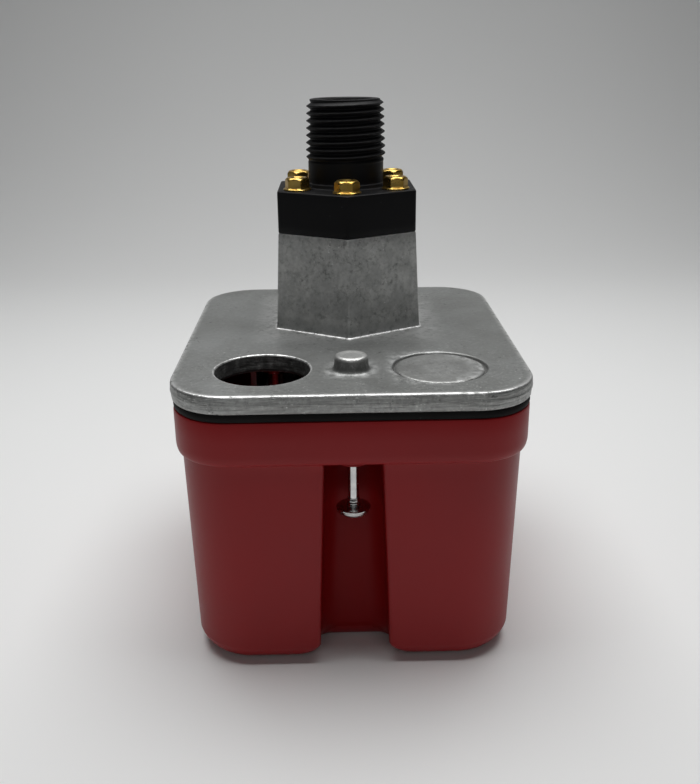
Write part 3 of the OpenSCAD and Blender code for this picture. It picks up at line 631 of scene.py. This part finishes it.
def cast_base():
    """The plate is a grid of patches: round features grow out of rectangles in it, ring by ring, and the
    outer rectangle grows out to the rounded edge and round it to the underside."""
    s = Surface()
    hx, hy = PLATE_HW - 7.7, PLATE_HD - 3.5
    kx0, kx1, ky0, ky1 = KNOCKOUT_X - 12.6, KNOCKOUT_X + 12.6, KNOCKOUT_Y - 12.6, KNOCKOUT_Y + 12.6
    sx, sy0, sy1 = 2.6, SCREW_Y - 2.6, SCREW_Y + 2.6
    bx, by0, by1 = 6.5, BOSS_Y - 6.5, BOSS_Y + 6.5
    tx, ty0, ty1 = 26.0, PORT_Y - 26.0, PORT_Y + 26.0
    xs = grid_lines([-hx, -kx1, -tx, -kx0, -bx, -sx, sx, bx, kx0, tx, kx1, hx], 1.2)
    ys = grid_lines([-hy, sy0, ky0, sy1, by0, by1, ky1, ty0, ty1, hy], 1.2)
    holes_top = [(-kx1, -kx0, ky0, ky1), (kx0, kx1, ky0, ky1), (-bx, bx, by0, by1), (-tx, tx, ty0, ty1)]
    holes_under = [(-kx1, -kx0, ky0, ky1), (-tx, tx, ty0, ty1), (-sx, sx, sy0, sy1)]
    gx, gy = np.meshgrid(xs, ys)
    mx, my = (xs[:-1] + xs[1:]) / 2, (ys[:-1] + ys[1:]) / 2
    cx, cy = np.meshgrid(mx, my)
    for z, holes in ((PLATE_TOP, holes_top), (PLATE_UNDER, holes_under)):
        skip = np.zeros(cx.shape, bool)
        for x0, x1, y0, y1 in holes:
            skip |= (cx > x0) & (cx < x1) & (cy > y0) & (cy < y1)
        s.add(np.stack([gx, gy, np.full(gx.shape, z)], -1), wrap=False, skip=skip)
    rim = patch_loop(-hx, hx, -hy, hy, xs, ys)
    mid = (PLATE_TOP + PLATE_UNDER) / 2
    edge = [(1.6, PLATE_TOP), (0.75, PLATE_TOP - 0.02), (0.4, PLATE_TOP - 0.12), (0.16, PLATE_TOP - 0.36),
            (0.12, PLATE_TOP - 0.8), (0.05, mid + 0.35), (0.02, mid + 0.16), (0.0, mid + 0.1),
            (0.0, mid - 0.1), (0.02, mid - 0.16), (0.16, mid - 0.25), (0.22, PLATE_UNDER + 0.6),
            (0.28, PLATE_UNDER + 0.25), (0.5, PLATE_UNDER + 0.03), (1.2, PLATE_UNDER)]
    rounded = [plate_edge(rim, inset, z) for inset, z in edge]
    s.add(np.array([ring(rim, PLATE_TOP)] + rounded + [ring(rim, PLATE_UNDER)]))

    left = patch_loop(-kx1, -kx0, ky0, ky1, xs, ys)
    r = KNOCKOUT_R
    profile = [(r + 0.75, PLATE_TOP), (r + 0.5, PLATE_TOP + 0.03), (r + 0.25, PLATE_TOP - 0.02),
               (r + 0.08, PLATE_TOP - 0.18), (r, PLATE_TOP - 0.45), (r, PLATE_UNDER + 1.2),
               (r - 0.12, PLATE_UNDER + 0.9), (r - 0.12, PLATE_UNDER + 0.5), (r + 0.15, PLATE_UNDER + 0.05),
               (r + 0.5, PLATE_UNDER)]
    centre = (-KNOCKOUT_X, KNOCKOUT_Y)
    rings = patch_rings(left, centre, profile)
    s.add(np.concatenate([[ring(left, PLATE_TOP)], rings, [ring(left, PLATE_UNDER)]]))

    right = patch_loop(kx0, kx1, ky0, ky1, xs, ys)
    deep = PLATE_TOP - 0.75
    profile = [(r + 0.7, PLATE_TOP), (r + 0.35, PLATE_TOP - 0.03), (r + 0.1, PLATE_TOP - 0.14),
               (r, PLATE_TOP - 0.3), (r - 0.12, deep + 0.1), (r - 0.3, deep), (r - 0.55, deep + 0.06),
               (r - 0.75, PLATE_TOP - 0.4), (r - 0.95, PLATE_TOP - 0.26), (r - 1.3, PLATE_TOP - 0.2),
               (r - 2.4, PLATE_TOP - 0.2), (r * 0.55, PLATE_TOP - 0.2), (r * 0.3, PLATE_TOP - 0.2),
               (r * 0.1, PLATE_TOP - 0.2)]
    rings = patch_rings(right, (KNOCKOUT_X, KNOCKOUT_Y), profile)
    s.add(np.concatenate([[ring(right, PLATE_TOP)], rings]), cap_last=True)

    boss = patch_loop(-bx, bx, by0, by1, xs, ys)
    top = PLATE_TOP + BOSS_H
    profile = [(6.1, PLATE_TOP), (5.3, PLATE_TOP + 0.04), (4.75, PLATE_TOP + 0.16),
               (4.35, PLATE_TOP + 0.42), (4.12, PLATE_TOP + 0.85), (4.0, PLATE_TOP + 1.4), (3.9, top - 0.9),
               (3.82, top - 0.5), (3.6, top - 0.2), (3.25, top - 0.04), (2.8, top), (2.2, top - 0.03),
               (1.5, top - 0.06), (0.6, top - 0.06)]
    rings = patch_rings(boss, (0, BOSS_Y), profile)
    s.add(np.concatenate([[ring(boss, PLATE_TOP)], rings]), cap_last=True)

    hole = patch_loop(-sx, sx, sy0, sy1, xs, ys)
    rings = patch_rings(hole, (0, SCREW_Y),
                        [(2.1, PLATE_UNDER), (1.8, PLATE_UNDER + 0.3), (1.8, PLATE_UNDER + 3.4)])
    s.add(np.concatenate([[ring(hole, PLATE_UNDER)], rings]), cap_last=True)

    tower = patch_loop(-tx, tx, ty0, ty1, xs, ys)
    add_tower(s, tower)
    piece = s.build("die_cast_base", CAST)
    # The vertices carry painted highlight on edges, painted shade in recesses and paler patches.
    paint(piece, rub=rubbed, grime=painted_shade_and_ring_share, pale=pale)
    return place(piece, "base", "casting", "base_casting")


def plan_distance(p, x, y):
    """Distance of each point from the vertical axis at (x, y)."""
    return np.hypot(p[:, 0] - x, p[:, 1] - y)


def near(value, middle, width):
    """A bell of the given width round the middle, 1 at its top."""
    return np.exp(-((value - middle) / width) ** 2)


def rubbed(p):
    """Bright lines along edges, partly wear and partly painted highlight: the plate's top edge, the rims of
    the hole and the boss, the tower's top edge, and the tower's foot, where it is a painted highlight on
    the fillet."""
    core = np.array([PLATE_HW - PLATE_R, PLATE_HD - PLATE_R])
    inside = PLATE_R - np.linalg.norm(p[:, :2] - np.clip(p[:, :2], -core, core), axis=1)
    upper = p[:, 2] - PLATE_TOP
    share = near(inside, 0.42, 0.3) * (upper > -0.3)
    share += near(plan_distance(p, -KNOCKOUT_X, KNOCKOUT_Y), KNOCKOUT_R + 0.2, 0.22) * (upper > -0.25)
    share += near(plan_distance(p, 0, BOSS_Y), 3.45, 0.4) * (upper > BOSS_H - 0.5) * 0.15
    angle = np.arctan2(p[:, 1] - PORT_Y, p[:, 0])
    foot = plan_distance(p, 0, PORT_Y) - hexagon_reach(angle, TOWER_FLAT_BASE, 0.7)
    # Painted highlight along the tower's foot fillet.
    share += near(foot, 0.32, 0.3) * (upper < 0.7) * (upper > -0.1)
    share += 0.8 * near(upper, TOWER_TOP - PLATE_TOP - 0.04, 0.16)
    return share


def painted_shade_and_ring_share(p):
    """Painted shade on the wall of the open hole, in the ring groove and on the boss's sides, and a darker
    ring round the boss on the plate."""
    upper = p[:, 2] - PLATE_TOP
    left = plan_distance(p, -KNOCKOUT_X, KNOCKOUT_Y)
    share = 0.9 * (left < KNOCKOUT_R + 0.06) * (upper < -0.15)
    right = plan_distance(p, KNOCKOUT_X, KNOCKOUT_Y)
    share += 0.75 * near(right, KNOCKOUT_R - 0.3, 0.35) * (upper < -0.2)
    boss = plan_distance(p, 0, BOSS_Y)
    share += 0.45 * (boss < 4.5) * (upper > 0.3) * (upper < BOSS_H - 0.6)
    share += 0.35 * near(boss, 7.5, 1.0) * (upper > -0.1)
    return share


def pale(p):
    """Paler patches round the boss's foot, along the closed ring and beside it."""
    upper = p[:, 2] - PLATE_TOP
    boss = plan_distance(p, 0, BOSS_Y)
    right = plan_distance(p, KNOCKOUT_X, KNOCKOUT_Y)
    share = near(boss, 5.4, 0.9) * (upper < 0.6)
    share += 0.9 * near(right, KNOCKOUT_R + 0.6, 0.8) * (p[:, 0] < KNOCKOUT_X + 2)
    share += 0.9 * near(right, KNOCKOUT_R - 1.6, 1.1) * (p[:, 0] > KNOCKOUT_X + 3)
    return share * (upper > -0.5)


def add_tower(s, loop):
    """The hexagonal tower: a fillet out of the plate, drafted flats with small round corners, a top land
    with the diaphragm's seat and the piston bore down to its floor."""
    count = len(loop)
    rel = loop - np.array([0, PORT_Y])
    base = np.unwrap(np.arctan2(rel[:, 1], rel[:, 0]))
    angle = base + 0.12 * np.sin(6 * base)
    rows = [np.column_stack([loop, np.full(count, PLATE_TOP)])]
    fillet = 0.6
    levels = []
    for a in np.linspace(0, math.pi / 2, 8):
        levels.append((TOWER_FLAT_BASE + fillet * (1 - math.sin(a)), PLATE_TOP + fillet * (1 - math.cos(a)),
                       0.7 + fillet * (1 - math.sin(a))))
    for f in np.linspace(0, 1, 12)[1:-1]:
        z = PLATE_TOP + fillet + (TOWER_TOP - PLATE_TOP - fillet) * f
        levels.append((TOWER_FLAT_BASE + (TOWER_FLAT_TOP - TOWER_FLAT_BASE) * (z - PLATE_TOP) /
                       (TOWER_TOP - PLATE_TOP), z, 0.7 - 0.1 * f))
    levels += [(TOWER_FLAT_TOP + 0.01, TOWER_TOP - 0.35, 0.6),
               (TOWER_FLAT_TOP - 0.06, TOWER_TOP - 0.12, 0.6), (TOWER_FLAT_TOP - 0.25, TOWER_TOP, 0.6)]
    for flat, z, corner in levels:
        reach = hexagon_reach(angle, flat, corner)
        rows.append(np.column_stack([reach * np.cos(angle), PORT_Y + reach * np.sin(angle),
                                     np.full(count, z)]))
    for r, z in ((12.45, TOWER_TOP), (12.45, TOWER_TOP - 1), (10.5, TOWER_TOP - 1),
                 (10.5, TOWER_TOP - 8.05), (7.05, TOWER_TOP - 8.05), (7.05, PLATE_UNDER + 0.3),
                 (7.3, PLATE_UNDER)):
        rows.append(np.column_stack([r * np.cos(angle), PORT_Y + r * np.sin(angle), np.full(count, z)]))
    rows.append(np.column_stack([loop, np.full(count, PLATE_UNDER)]))
    s.add(np.array(rows))


# ------------------------------------------------------------------ port fitting

PITCH = 1.814
THREAD_DEPTH = 1.05
NECK_R = 9.85
NECK_TOP = FLANGE_TOP + 6.3
THREAD_R_END = 9.95


def thread_radius(angle, z):
    """Crest radius on a pipe's taper, less a rounded vee that climbs one pitch a turn and fades at both
    ends."""
    crest = np.minimum(THREAD_R_END + (PORT_TOP - z) / 32, 10.39)
    phase = (z / PITCH - angle / TAU) % 1.0
    vee = np.abs(phase * 2 - 1)
    vee = np.clip((vee - 0.12) / 0.76, 0, 1)
    start = np.clip((z - NECK_TOP) / (PITCH * 0.8), 0, 1)
    lead = np.clip((PORT_TOP - 0.15 - z) / (PITCH * 0.55), 0, 1)
    root = crest - THREAD_DEPTH
    crest_in = root + (crest - root) * lead ** 0.7
    shaped = crest_in - (crest_in - root) * vee
    return shaped * start + np.minimum(NECK_R, shaped + (1 - start) * 9) * (1 - start)


def port_piece():
    """One closed surface carried round the port's axis: chamber, hexagonal flange, neck with its collar,
    helical thread, free end and bore."""
    sides = 240
    base = np.arange(sides) * TAU / sides
    angle = base + 0.12 * np.sin(6 * base)
    rows = []

    def round_row(r, z):
        """One loop round the port's axis at the given reach."""
        rows.append(np.column_stack([r * np.cos(angle), PORT_Y + r * np.sin(angle), np.full(sides, z)]))

    def hex_row(flat, z, corner=0.9):
        """One loop along the flange's hexagon."""
        round_row(hexagon_reach(angle, flat, corner), z)

    flat = 17.78
    round_row(np.full(sides, 6.5), TOWER_TOP + 3)
    round_row(np.full(sides, 10.0), TOWER_TOP + 3)
    round_row(np.full(sides, 10.0), TOWER_TOP + 0.02)
    hex_row(flat - 0.3, TOWER_TOP + 0.02)
    hex_row(flat - 0.08, TOWER_TOP + 0.1)
    for z in np.linspace(TOWER_TOP + 0.3, FLANGE_TOP - 0.45, 6):
        hex_row(flat, z)
    for a in np.linspace(0.3, math.pi / 2, 4):
        hex_row(flat - 0.4 * (1 - math.cos(a)), FLANGE_TOP - 0.4 * (1 - math.sin(a)))
    round_row(np.full(sides, 12.2), FLANGE_TOP)
    for r, z in ((11.1, 0.0), (10.7, 0.08), (10.5, 0.3), (10.42, 0.75), (10.3, 1.0), (9.98, 1.12),
                 (9.87, 1.3), (NECK_R, 2.0), (NECK_R, 4.2)):
        round_row(np.full(sides, r), FLANGE_TOP + z)
    for z in np.linspace(NECK_TOP - 1.2, PORT_TOP - 0.35, 230):
        round_row(thread_radius(angle, np.full(sides, z)), z)
    end = THREAD_R_END - THREAD_DEPTH
    round_row(np.minimum(thread_radius(angle, np.full(sides, PORT_TOP - 0.35)), end + 0.45),
              PORT_TOP - 0.12)
    for r, z in ((end - 0.25, 0.0), (7.2, 0.0), (6.85, -0.06), (6.6, -0.3)):
        round_row(np.full(sides, r), PORT_TOP + z)
    for z in np.linspace(PORT_TOP - 2, TOWER_TOP + 3, 12):
        round_row(np.full(sides, 6.5), z)
    s = Surface()
    s.add(np.array(rows))
    return place(s.build("black_port_fitting", BLACK), "base", "fitting", "port_fitting")


def flange_screw_group():
    """Six screws: a thin washer and a hexagonal head with a chamfered, dished top, each turned a little."""
    s = Surface()
    half = 2.8
    top = 3.2
    for i, twist in enumerate((0.1, 0.5, -0.2, 0.3, 0.42, 0.6)):
        a0 = math.radians(30 + 60 * i)
        centre = (14.6 * math.cos(a0), PORT_Y + 14.6 * math.sin(a0))
        sides = 96
        base = np.arange(sides) * TAU / sides
        angle = base + 0.1 * np.sin(6 * base)
        rows = []
        for kind, r, z in (("r", 1.6, -3), ("r", 3.45, 0.01), ("r", 3.58, 0.06), ("r", 3.6, 0.24),
                           ("r", 3.52, 0.36), ("r", 3.35, 0.42), ("h", half + 0.12, 0.5),
                           ("h", half + 0.02, 0.64), ("h", half, 0.9), ("h", half, 2.2), ("c", 3.2, 2.5),
                           ("c", 3.0, 2.75), ("r", 2.72, top - 0.2), ("r", 2.45, top - 0.04),
                           ("r", 2.2, top), ("r", 1.95, top - 0.03), ("r", 1.7, top - 0.2),
                           ("r", 1.3, top - 0.4), ("r", 0.5, top - 0.45)):
            hexed = hexagon_reach(angle, r if kind == "h" else half, 0.12)
            reach = {"r": np.full(sides, r), "h": hexed, "c": np.minimum(hexed, r)}[kind]
            rows.append(np.column_stack([centre[0] + reach * np.cos(angle + twist),
                                         centre[1] + reach * np.sin(angle + twist),
                                         np.full(sides, FLANGE_TOP + z)]))
        s.add(np.array(rows), cap_first=True, cap_last=True)
    return place(s.build("yellow_flange_screws", YELLOW_ZINC), "base", "yellow_zinc", "flange_screws")


def gasket_piece():
    """A rounded rubber band carried round the plate's outline, bulging by a hair where it is squeezed."""
    low, high = gasket_low[2], gasket_high[2]
    hw, hd = gasket_high[0], gasket_high[1]
    t = cover_outline(hw, hd, RIM_CORNER, 5, -hd + 4, 0.5, 0.5)[:SLOT_START]
    t = t[7:]
    core = np.array([hw - RIM_CORNER, hd - RIM_CORNER])
    near = np.clip(t, -core, core)
    away = t - near
    away /= np.maximum(np.linalg.norm(away, axis=1), 1e-9)[:, None]
    s = Surface()
    section = [(0.45, low + 0.02), (0.2, low + 0.15), (0.07, low + 0.5), (0.02, (low + high) / 2),
               (0.07, high - 0.5), (0.2, high - 0.15), (0.45, high - 0.02), (4.2, high - 0.02),
               (4.3, (low + high) / 2), (4.2, low + 0.02)]
    wave = 0.05 * np.sin(np.arange(len(t)) * 0.7) + 0.04 * np.sin(np.arange(len(t)) * 0.23)
    rows = [np.column_stack([near + away * (RIM_CORNER - inset - 0.05 - wave[:, None] * (inset < 1)),
                             np.full(len(t), z)])
            for inset, z in section + section[:1]]
    s.add(np.array(rows))
    return place(s.build("gasket_band", GASKET), "base", "gasket", "cover_gasket")


def cover_screw_piece():
    """Domed head with a rolled rim and a hexagonal socket, smooth shank and a threaded tip."""
    head = screw_low[2]
    tip = screw_high[2]
    seat = head + 2.5
    wide = screw_high[0]
    rows = []
    sides = 72
    angle = np.arange(sides) * TAU / sides
    socket = hexagon_reach(angle, 1.2, 0.1)

    def row(r, z):
        """One loop round the screw's axis."""
        rows.append(np.column_stack([r * np.cos(angle), SCREW_Y + r * np.sin(angle), np.full(sides, z)]))

    row(socket * 0.3, head + 1.4)
    row(socket, head + 1.4)
    row(socket, head + 0.12)
    row(socket + 0.12, head + 0.02)
    dome = seat - head - 0.5
    for a in np.linspace(0.48, math.pi / 2, 12):
        row(np.full(sides, (wide - 0.1) * math.sin(a)), head + dome * (1 - math.cos(a)) * 0.98)
    for r, z in ((wide - 0.02, -0.42), (wide, -0.28), (wide - 0.04, -0.12), (wide - 0.2, -0.02),
                 (wide - 0.5, 0.0), (1.25, 0.0), (1.25, 2.3)):
        row(np.full(sides, r), seat + z)
    for z in np.linspace(seat + 4, tip - 6.0, 4):
        row(np.full(sides, 1.25), z)
    for z in np.linspace(tip - 5.7, tip - 0.5, 96):
        phase = (z / 0.794 - angle / TAU) % 1.0
        row(1.28 + 0.46 * (1 - np.abs(phase * 2 - 1)), z)
    row(np.full(sides, 1.25), tip - 0.2)
    row(np.full(sides, 0.7), tip)
    s = Surface()
    s.add(np.array(rows), cap_first=True, cap_last=True)
    place(s.build("cover_screw_body", BRIGHT), "cover_screw", "screw_steel", "cover_screw")
    ring_profile = [(1.31, seat + 0.02), (1.5, seat + 0.02), (1.55, seat + 0.2), (1.55, seat + 0.42),
                    (1.42, seat + 0.6), (1.36, seat + 0.85), (1.42, seat + 1.1), (1.55, seat + 1.28),
                    (1.55, seat + 1.55), (1.45, seat + 1.8), (1.38, seat + 2.18), (1.31, seat + 2.18),
                    (1.31, seat + 0.02)]
    c = Surface()
    c.add(turned(ring_profile, (0, SCREW_Y), 64))
    place(c.build("cover_screw_collar", BRIGHT), "screw_collar", "screw_steel", "screw_collar")


# ------------------------------------------------------------------ mechanism


def spring_piece(side):
    """Round wire along a helix: closed end turns a wire apart, an even pitch between them."""
    low, high = corners("range_spring_" + side)
    x, y = (low[0] + high[0]) / 2, (low[1] + high[1]) / 2
    wire = 0.55
    mean = (high[0] - low[0]) / 2 - wire
    height = high[2] - low[2]
    turns = 8
    step = 2 * wire + 0.06
    t = np.linspace(0, turns, turns * 40 + 1)
    z = np.interp(t, [0, 1, turns - 1, turns], [0, step, height - 2 * wire - step, height - 2 * wire])
    slope = np.interp(t, [0, 0.8, 1.2, turns - 1.2, turns - 0.8, turns],
                      [0, 0, 1, 1, 0, 0]) * (height - 2 * wire - 2 * step) / (turns - 2) / (TAU * mean)
    b = np.arange(14) * TAU / 14
    a = (t * TAU)[:, None]
    rise = np.arctan(slope)[:, None]
    r = mean + wire * np.cos(b)[None, :]
    along = -wire * np.sin(b)[None, :] * np.sin(rise)
    grid = np.stack([x + r * np.cos(a) - along * np.sin(a), y + r * np.sin(a) + along * np.cos(a),
                     low[2] + wire + z[:, None] + wire * np.sin(b)[None, :] * np.cos(rise)], axis=-1)
    s = Surface()
    s.add(grid, cap_first=True, cap_last=True)
    piece = place(s.build("range_spring_wire_" + side, WIRE), "base", "spring_steel",
                  "range_spring_" + side)
    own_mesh(piece)
    return piece


def knob_piece(side):
    """Round knob with a chamfered top and bottom and rounded flutes round its side."""
    low, high = corners("adjusting_knob_" + side)
    x, y = (low[0] + high[0]) / 2, (low[1] + high[1]) / 2
    sides = 288

    def radius(angle, r, z):
        """Twelve round flutes and a fine knurl outside the knob's chamfers."""
        dip = np.clip(np.cos(12 * angle), 0, 1) ** 3
        return np.where(r > 6.2, r - 0.42 * dip - 0.08 * np.cos(96 * angle) * (r > 6.8), r)

    profile = [(2.05, low[2] + 0.3), (2.35, low[2]), (6.0, low[2]), (6.4, low[2] + 0.08),
               (6.75, low[2] + 0.35), (6.9, low[2] + 0.7), (6.9, low[2] + 3), (6.9, high[2] - 1.0),
               (6.75, high[2] - 0.5), (6.45, high[2] - 0.2), (6.1, high[2]), (4.5, high[2]),
               (4.3, high[2] - 0.15), (3.2, high[2] - 0.15), (3.0, high[2]), (2.4, high[2]),
               (2.05, high[2] - 0.3), (2.05, low[2] + 0.3)]
    s = Surface()
    s.add(turned(profile, (x, y), sides, radius))
    return place(s.build("adjusting_knob_body_" + side, BRASS), "knob_" + side, "brass",
                 "adjusting_knob_" + side)


def softened_copy(node, material, slot, width=0.15):
    """A copy of a CAD node's mesh with its doubles merged and its edges rounded by a bevel."""
    source = frame["nodes"][node]
    bpy.context.view_layer.update()
    mesh = source.data.copy()
    mesh.transform(source.matrix_world)
    mesh.materials.clear()
    for name in [a.name for a in mesh.attributes if a.name in ("custom_normal", "sharp_edge",
                                                               "sharp_face")]:
        mesh.attributes.remove(mesh.attributes[name])
    work = bmesh.new()
    work.from_mesh(mesh)
    bmesh.ops.remove_doubles(work, verts=work.verts, dist=2e-6)
    bmesh.ops.recalc_face_normals(work, faces=work.faces)
    bmesh.ops.dissolve_limit(work, angle_limit=math.radians(0.5), verts=work.verts, edges=work.edges)
    work.to_mesh(mesh)
    work.free()
    mesh.polygons.foreach_set("use_smooth", np.ones(len(mesh.polygons), bool))
    piece = bpy.data.objects.new(node + "_soft", mesh)
    bpy.context.scene.collection.objects.link(piece)
    mesh.materials.append(material)
    bevel = piece.modifiers.new("edges", "BEVEL")
    bevel.width = width * MM
    bevel.segments = 2
    bevel.limit_method = "ANGLE"
    bevel.angle_limit = math.radians(35)
    bevel.harden_normals = True
    bevel.use_clamp_overlap = True
    return place(piece, body_of(source)[0], slot, node)


SOFT = [("mechanism_bracket", STEEL, "bright_steel", 0.25), ("guide_bush", BRASS, "brass", 0.2),
        ("piston", BRIGHT, "bright_steel", 0.2), ("thrust_beam", STEEL, "bright_steel", 0.25),
        ("beam_screw", BRIGHT, "bright_steel", 0.12), ("bracket_screws", BRIGHT, "bright_steel", 0.12),
        ("lever_pivot_pin", BRIGHT, "bright_steel", 0.15), ("pivot_clips", WIRE, "spring_steel", 0.08),
        ("ground_screw", GREEN, "ground_green", 0.15), ("ground_washer", BRIGHT, "bright_steel", 0.12),
        ("insulating_barrier", FIBRE, "barrier", 0.15), ("switch_screws", BRIGHT, "bright_steel", 0.12),
        ("switch_nuts", BRIGHT, "bright_steel", 0.12), ("stud_end_nuts", BRIGHT, "bright_steel", 0.12),
        ("diaphragm", RUBBER, "diaphragm", 0.15)]
PAIRS = [("lever", STEEL, "bright_steel", 0.25), ("adjusting_stud", BRIGHT, "bright_steel", 0.2),
         ("spring_seat", BRIGHT, "bright_steel", 0.2), ("switch_case", CASE, "switch_case", 0.4),
         ("switch_lid", LID, "switch_lid", 0.3), ("switch_plunger", BUTTON, "plunger", 0.15),
         ("terminals", BRASS, "brass", 0.12), ("clamp_plates", BRIGHT, "bright_steel", 0.12),
         ("terminal_screws", BRIGHT, "bright_steel", 0.12)]


def mechanism():
    """Everything under the plate: softened copies of the CAD pieces, the springs and the knobs."""
    for node, material, slot, width in SOFT:
        softened_copy(node, material, slot, width)
    for side in ("left", "right"):
        spring_piece(side)
        knob_piece(side)
        for node, material, slot, width in PAIRS:
            softened_copy(node + "_" + side, material, slot, width)


# ------------------------------------------------------------------ the scene


def backdrop():
    """A pale sheet on the table that rises behind in a wide curve."""
    profile = [(-0.9, 0.0), (0.36, 0.0)]
    for a in np.linspace(0, math.pi / 2, 24)[1:]:
        profile.append((0.36 + 0.4 * math.sin(a), 0.4 * (1 - math.cos(a))))
    profile.append((0.76, 1.4))
    xs = np.linspace(-1.6, 1.6, 9)
    points = [(x, y, z) for y, z in profile for x in xs]
    faces = [(i * 9 + j, i * 9 + j + 1, i * 9 + j + 10, i * 9 + j + 9)
             for i in range(len(profile) - 1) for j in range(8)]
    mesh = bpy.data.meshes.new("backdrop")
    mesh.from_pydata(points, [], faces)
    f = Finish("pale_sheet", Roughness=0.85)
    f.colour(f.mix(f.levels(f.noise(3, 2), 0.3, 0.7), (0.84, 0.845, 0.84), (0.86, 0.865, 0.86)))
    piece = finish_mesh(mesh, "backdrop", f.material)
    return piece


def light(name, place_at, aim, size, power, tint=(1, 1, 1)):
    """A rectangular lamp at one point, facing another."""
    lamp = bpy.data.lights.new(name, "AREA")
    lamp.shape = "RECTANGLE"
    lamp.size, lamp.size_y = size
    lamp.energy = power
    lamp.color = tint
    item = bpy.data.objects.new(name, lamp)
    bpy.context.scene.collection.objects.link(item)
    item.location = place_at
    item.rotation_mode = "QUATERNION"
    item.rotation_quaternion = (Vector(place_at) - Vector(aim)).to_track_quat("Z", "Y")
    return item


def world():
    """A weak, faintly blue sky."""
    made = bpy.data.worlds.new("studio")
    made.use_nodes = True
    nodes = made.node_tree.nodes
    nodes["Background"].inputs["Color"].default_value = (0.9, 0.95, 1.0, 1)
    nodes["Background"].inputs["Strength"].default_value = 0.02
    bpy.context.scene.world = made


def camera():
    """Stands 23 cm in front and looks down by 20 degrees, turned and tilted by a hair."""
    data = bpy.data.cameras.new("camera")
    data.lens = 42.30
    data.sensor_width = 36
    data.clip_start, data.clip_end = 0.01, 20
    item = bpy.data.objects.new("camera", data)
    bpy.context.scene.collection.objects.link(item)
    pitch, yaw, roll = (math.radians(a) for a in (20.33, -1.03, 0.62))
    across = Vector((math.cos(yaw), math.sin(yaw), 0))
    ahead = Vector((-math.sin(yaw), math.cos(yaw), 0))
    forward = ahead * math.cos(pitch) - Vector((0, 0, math.sin(pitch)))
    up0 = ahead * math.sin(pitch) + Vector((0, 0, math.cos(pitch)))
    right = across * math.cos(roll) - up0 * math.sin(roll)
    up = across * math.sin(roll) + up0 * math.cos(roll)
    turn = Matrix((right, up, -forward)).transposed()
    item.rotation_mode = "QUATERNION"
    item.rotation_quaternion = turn.to_quaternion()
    item.location = Vector((-4.0, -233.04, 140.23)) * MM
    bpy.context.scene.camera = item


cover_piece()
cast_base()
port_piece()
flange_screw_group()
gasket_piece()
cover_screw_piece()
mechanism()

backdrop()
light("overhead", (0.0, 0.075, 0.52), (0, 0.075, 0.0), (0.5, 0.42), 2.9)
light("front_fill", (0.0, -0.62, 0.42), (0, 0, 0.04), (0.6, 0.35), 0.4)
world()
camera()

view = bpy.context.scene.view_settings
view.view_transform = "Standard"
view.look = "None"
view.exposure = 0.0
view.gamma = 1.0
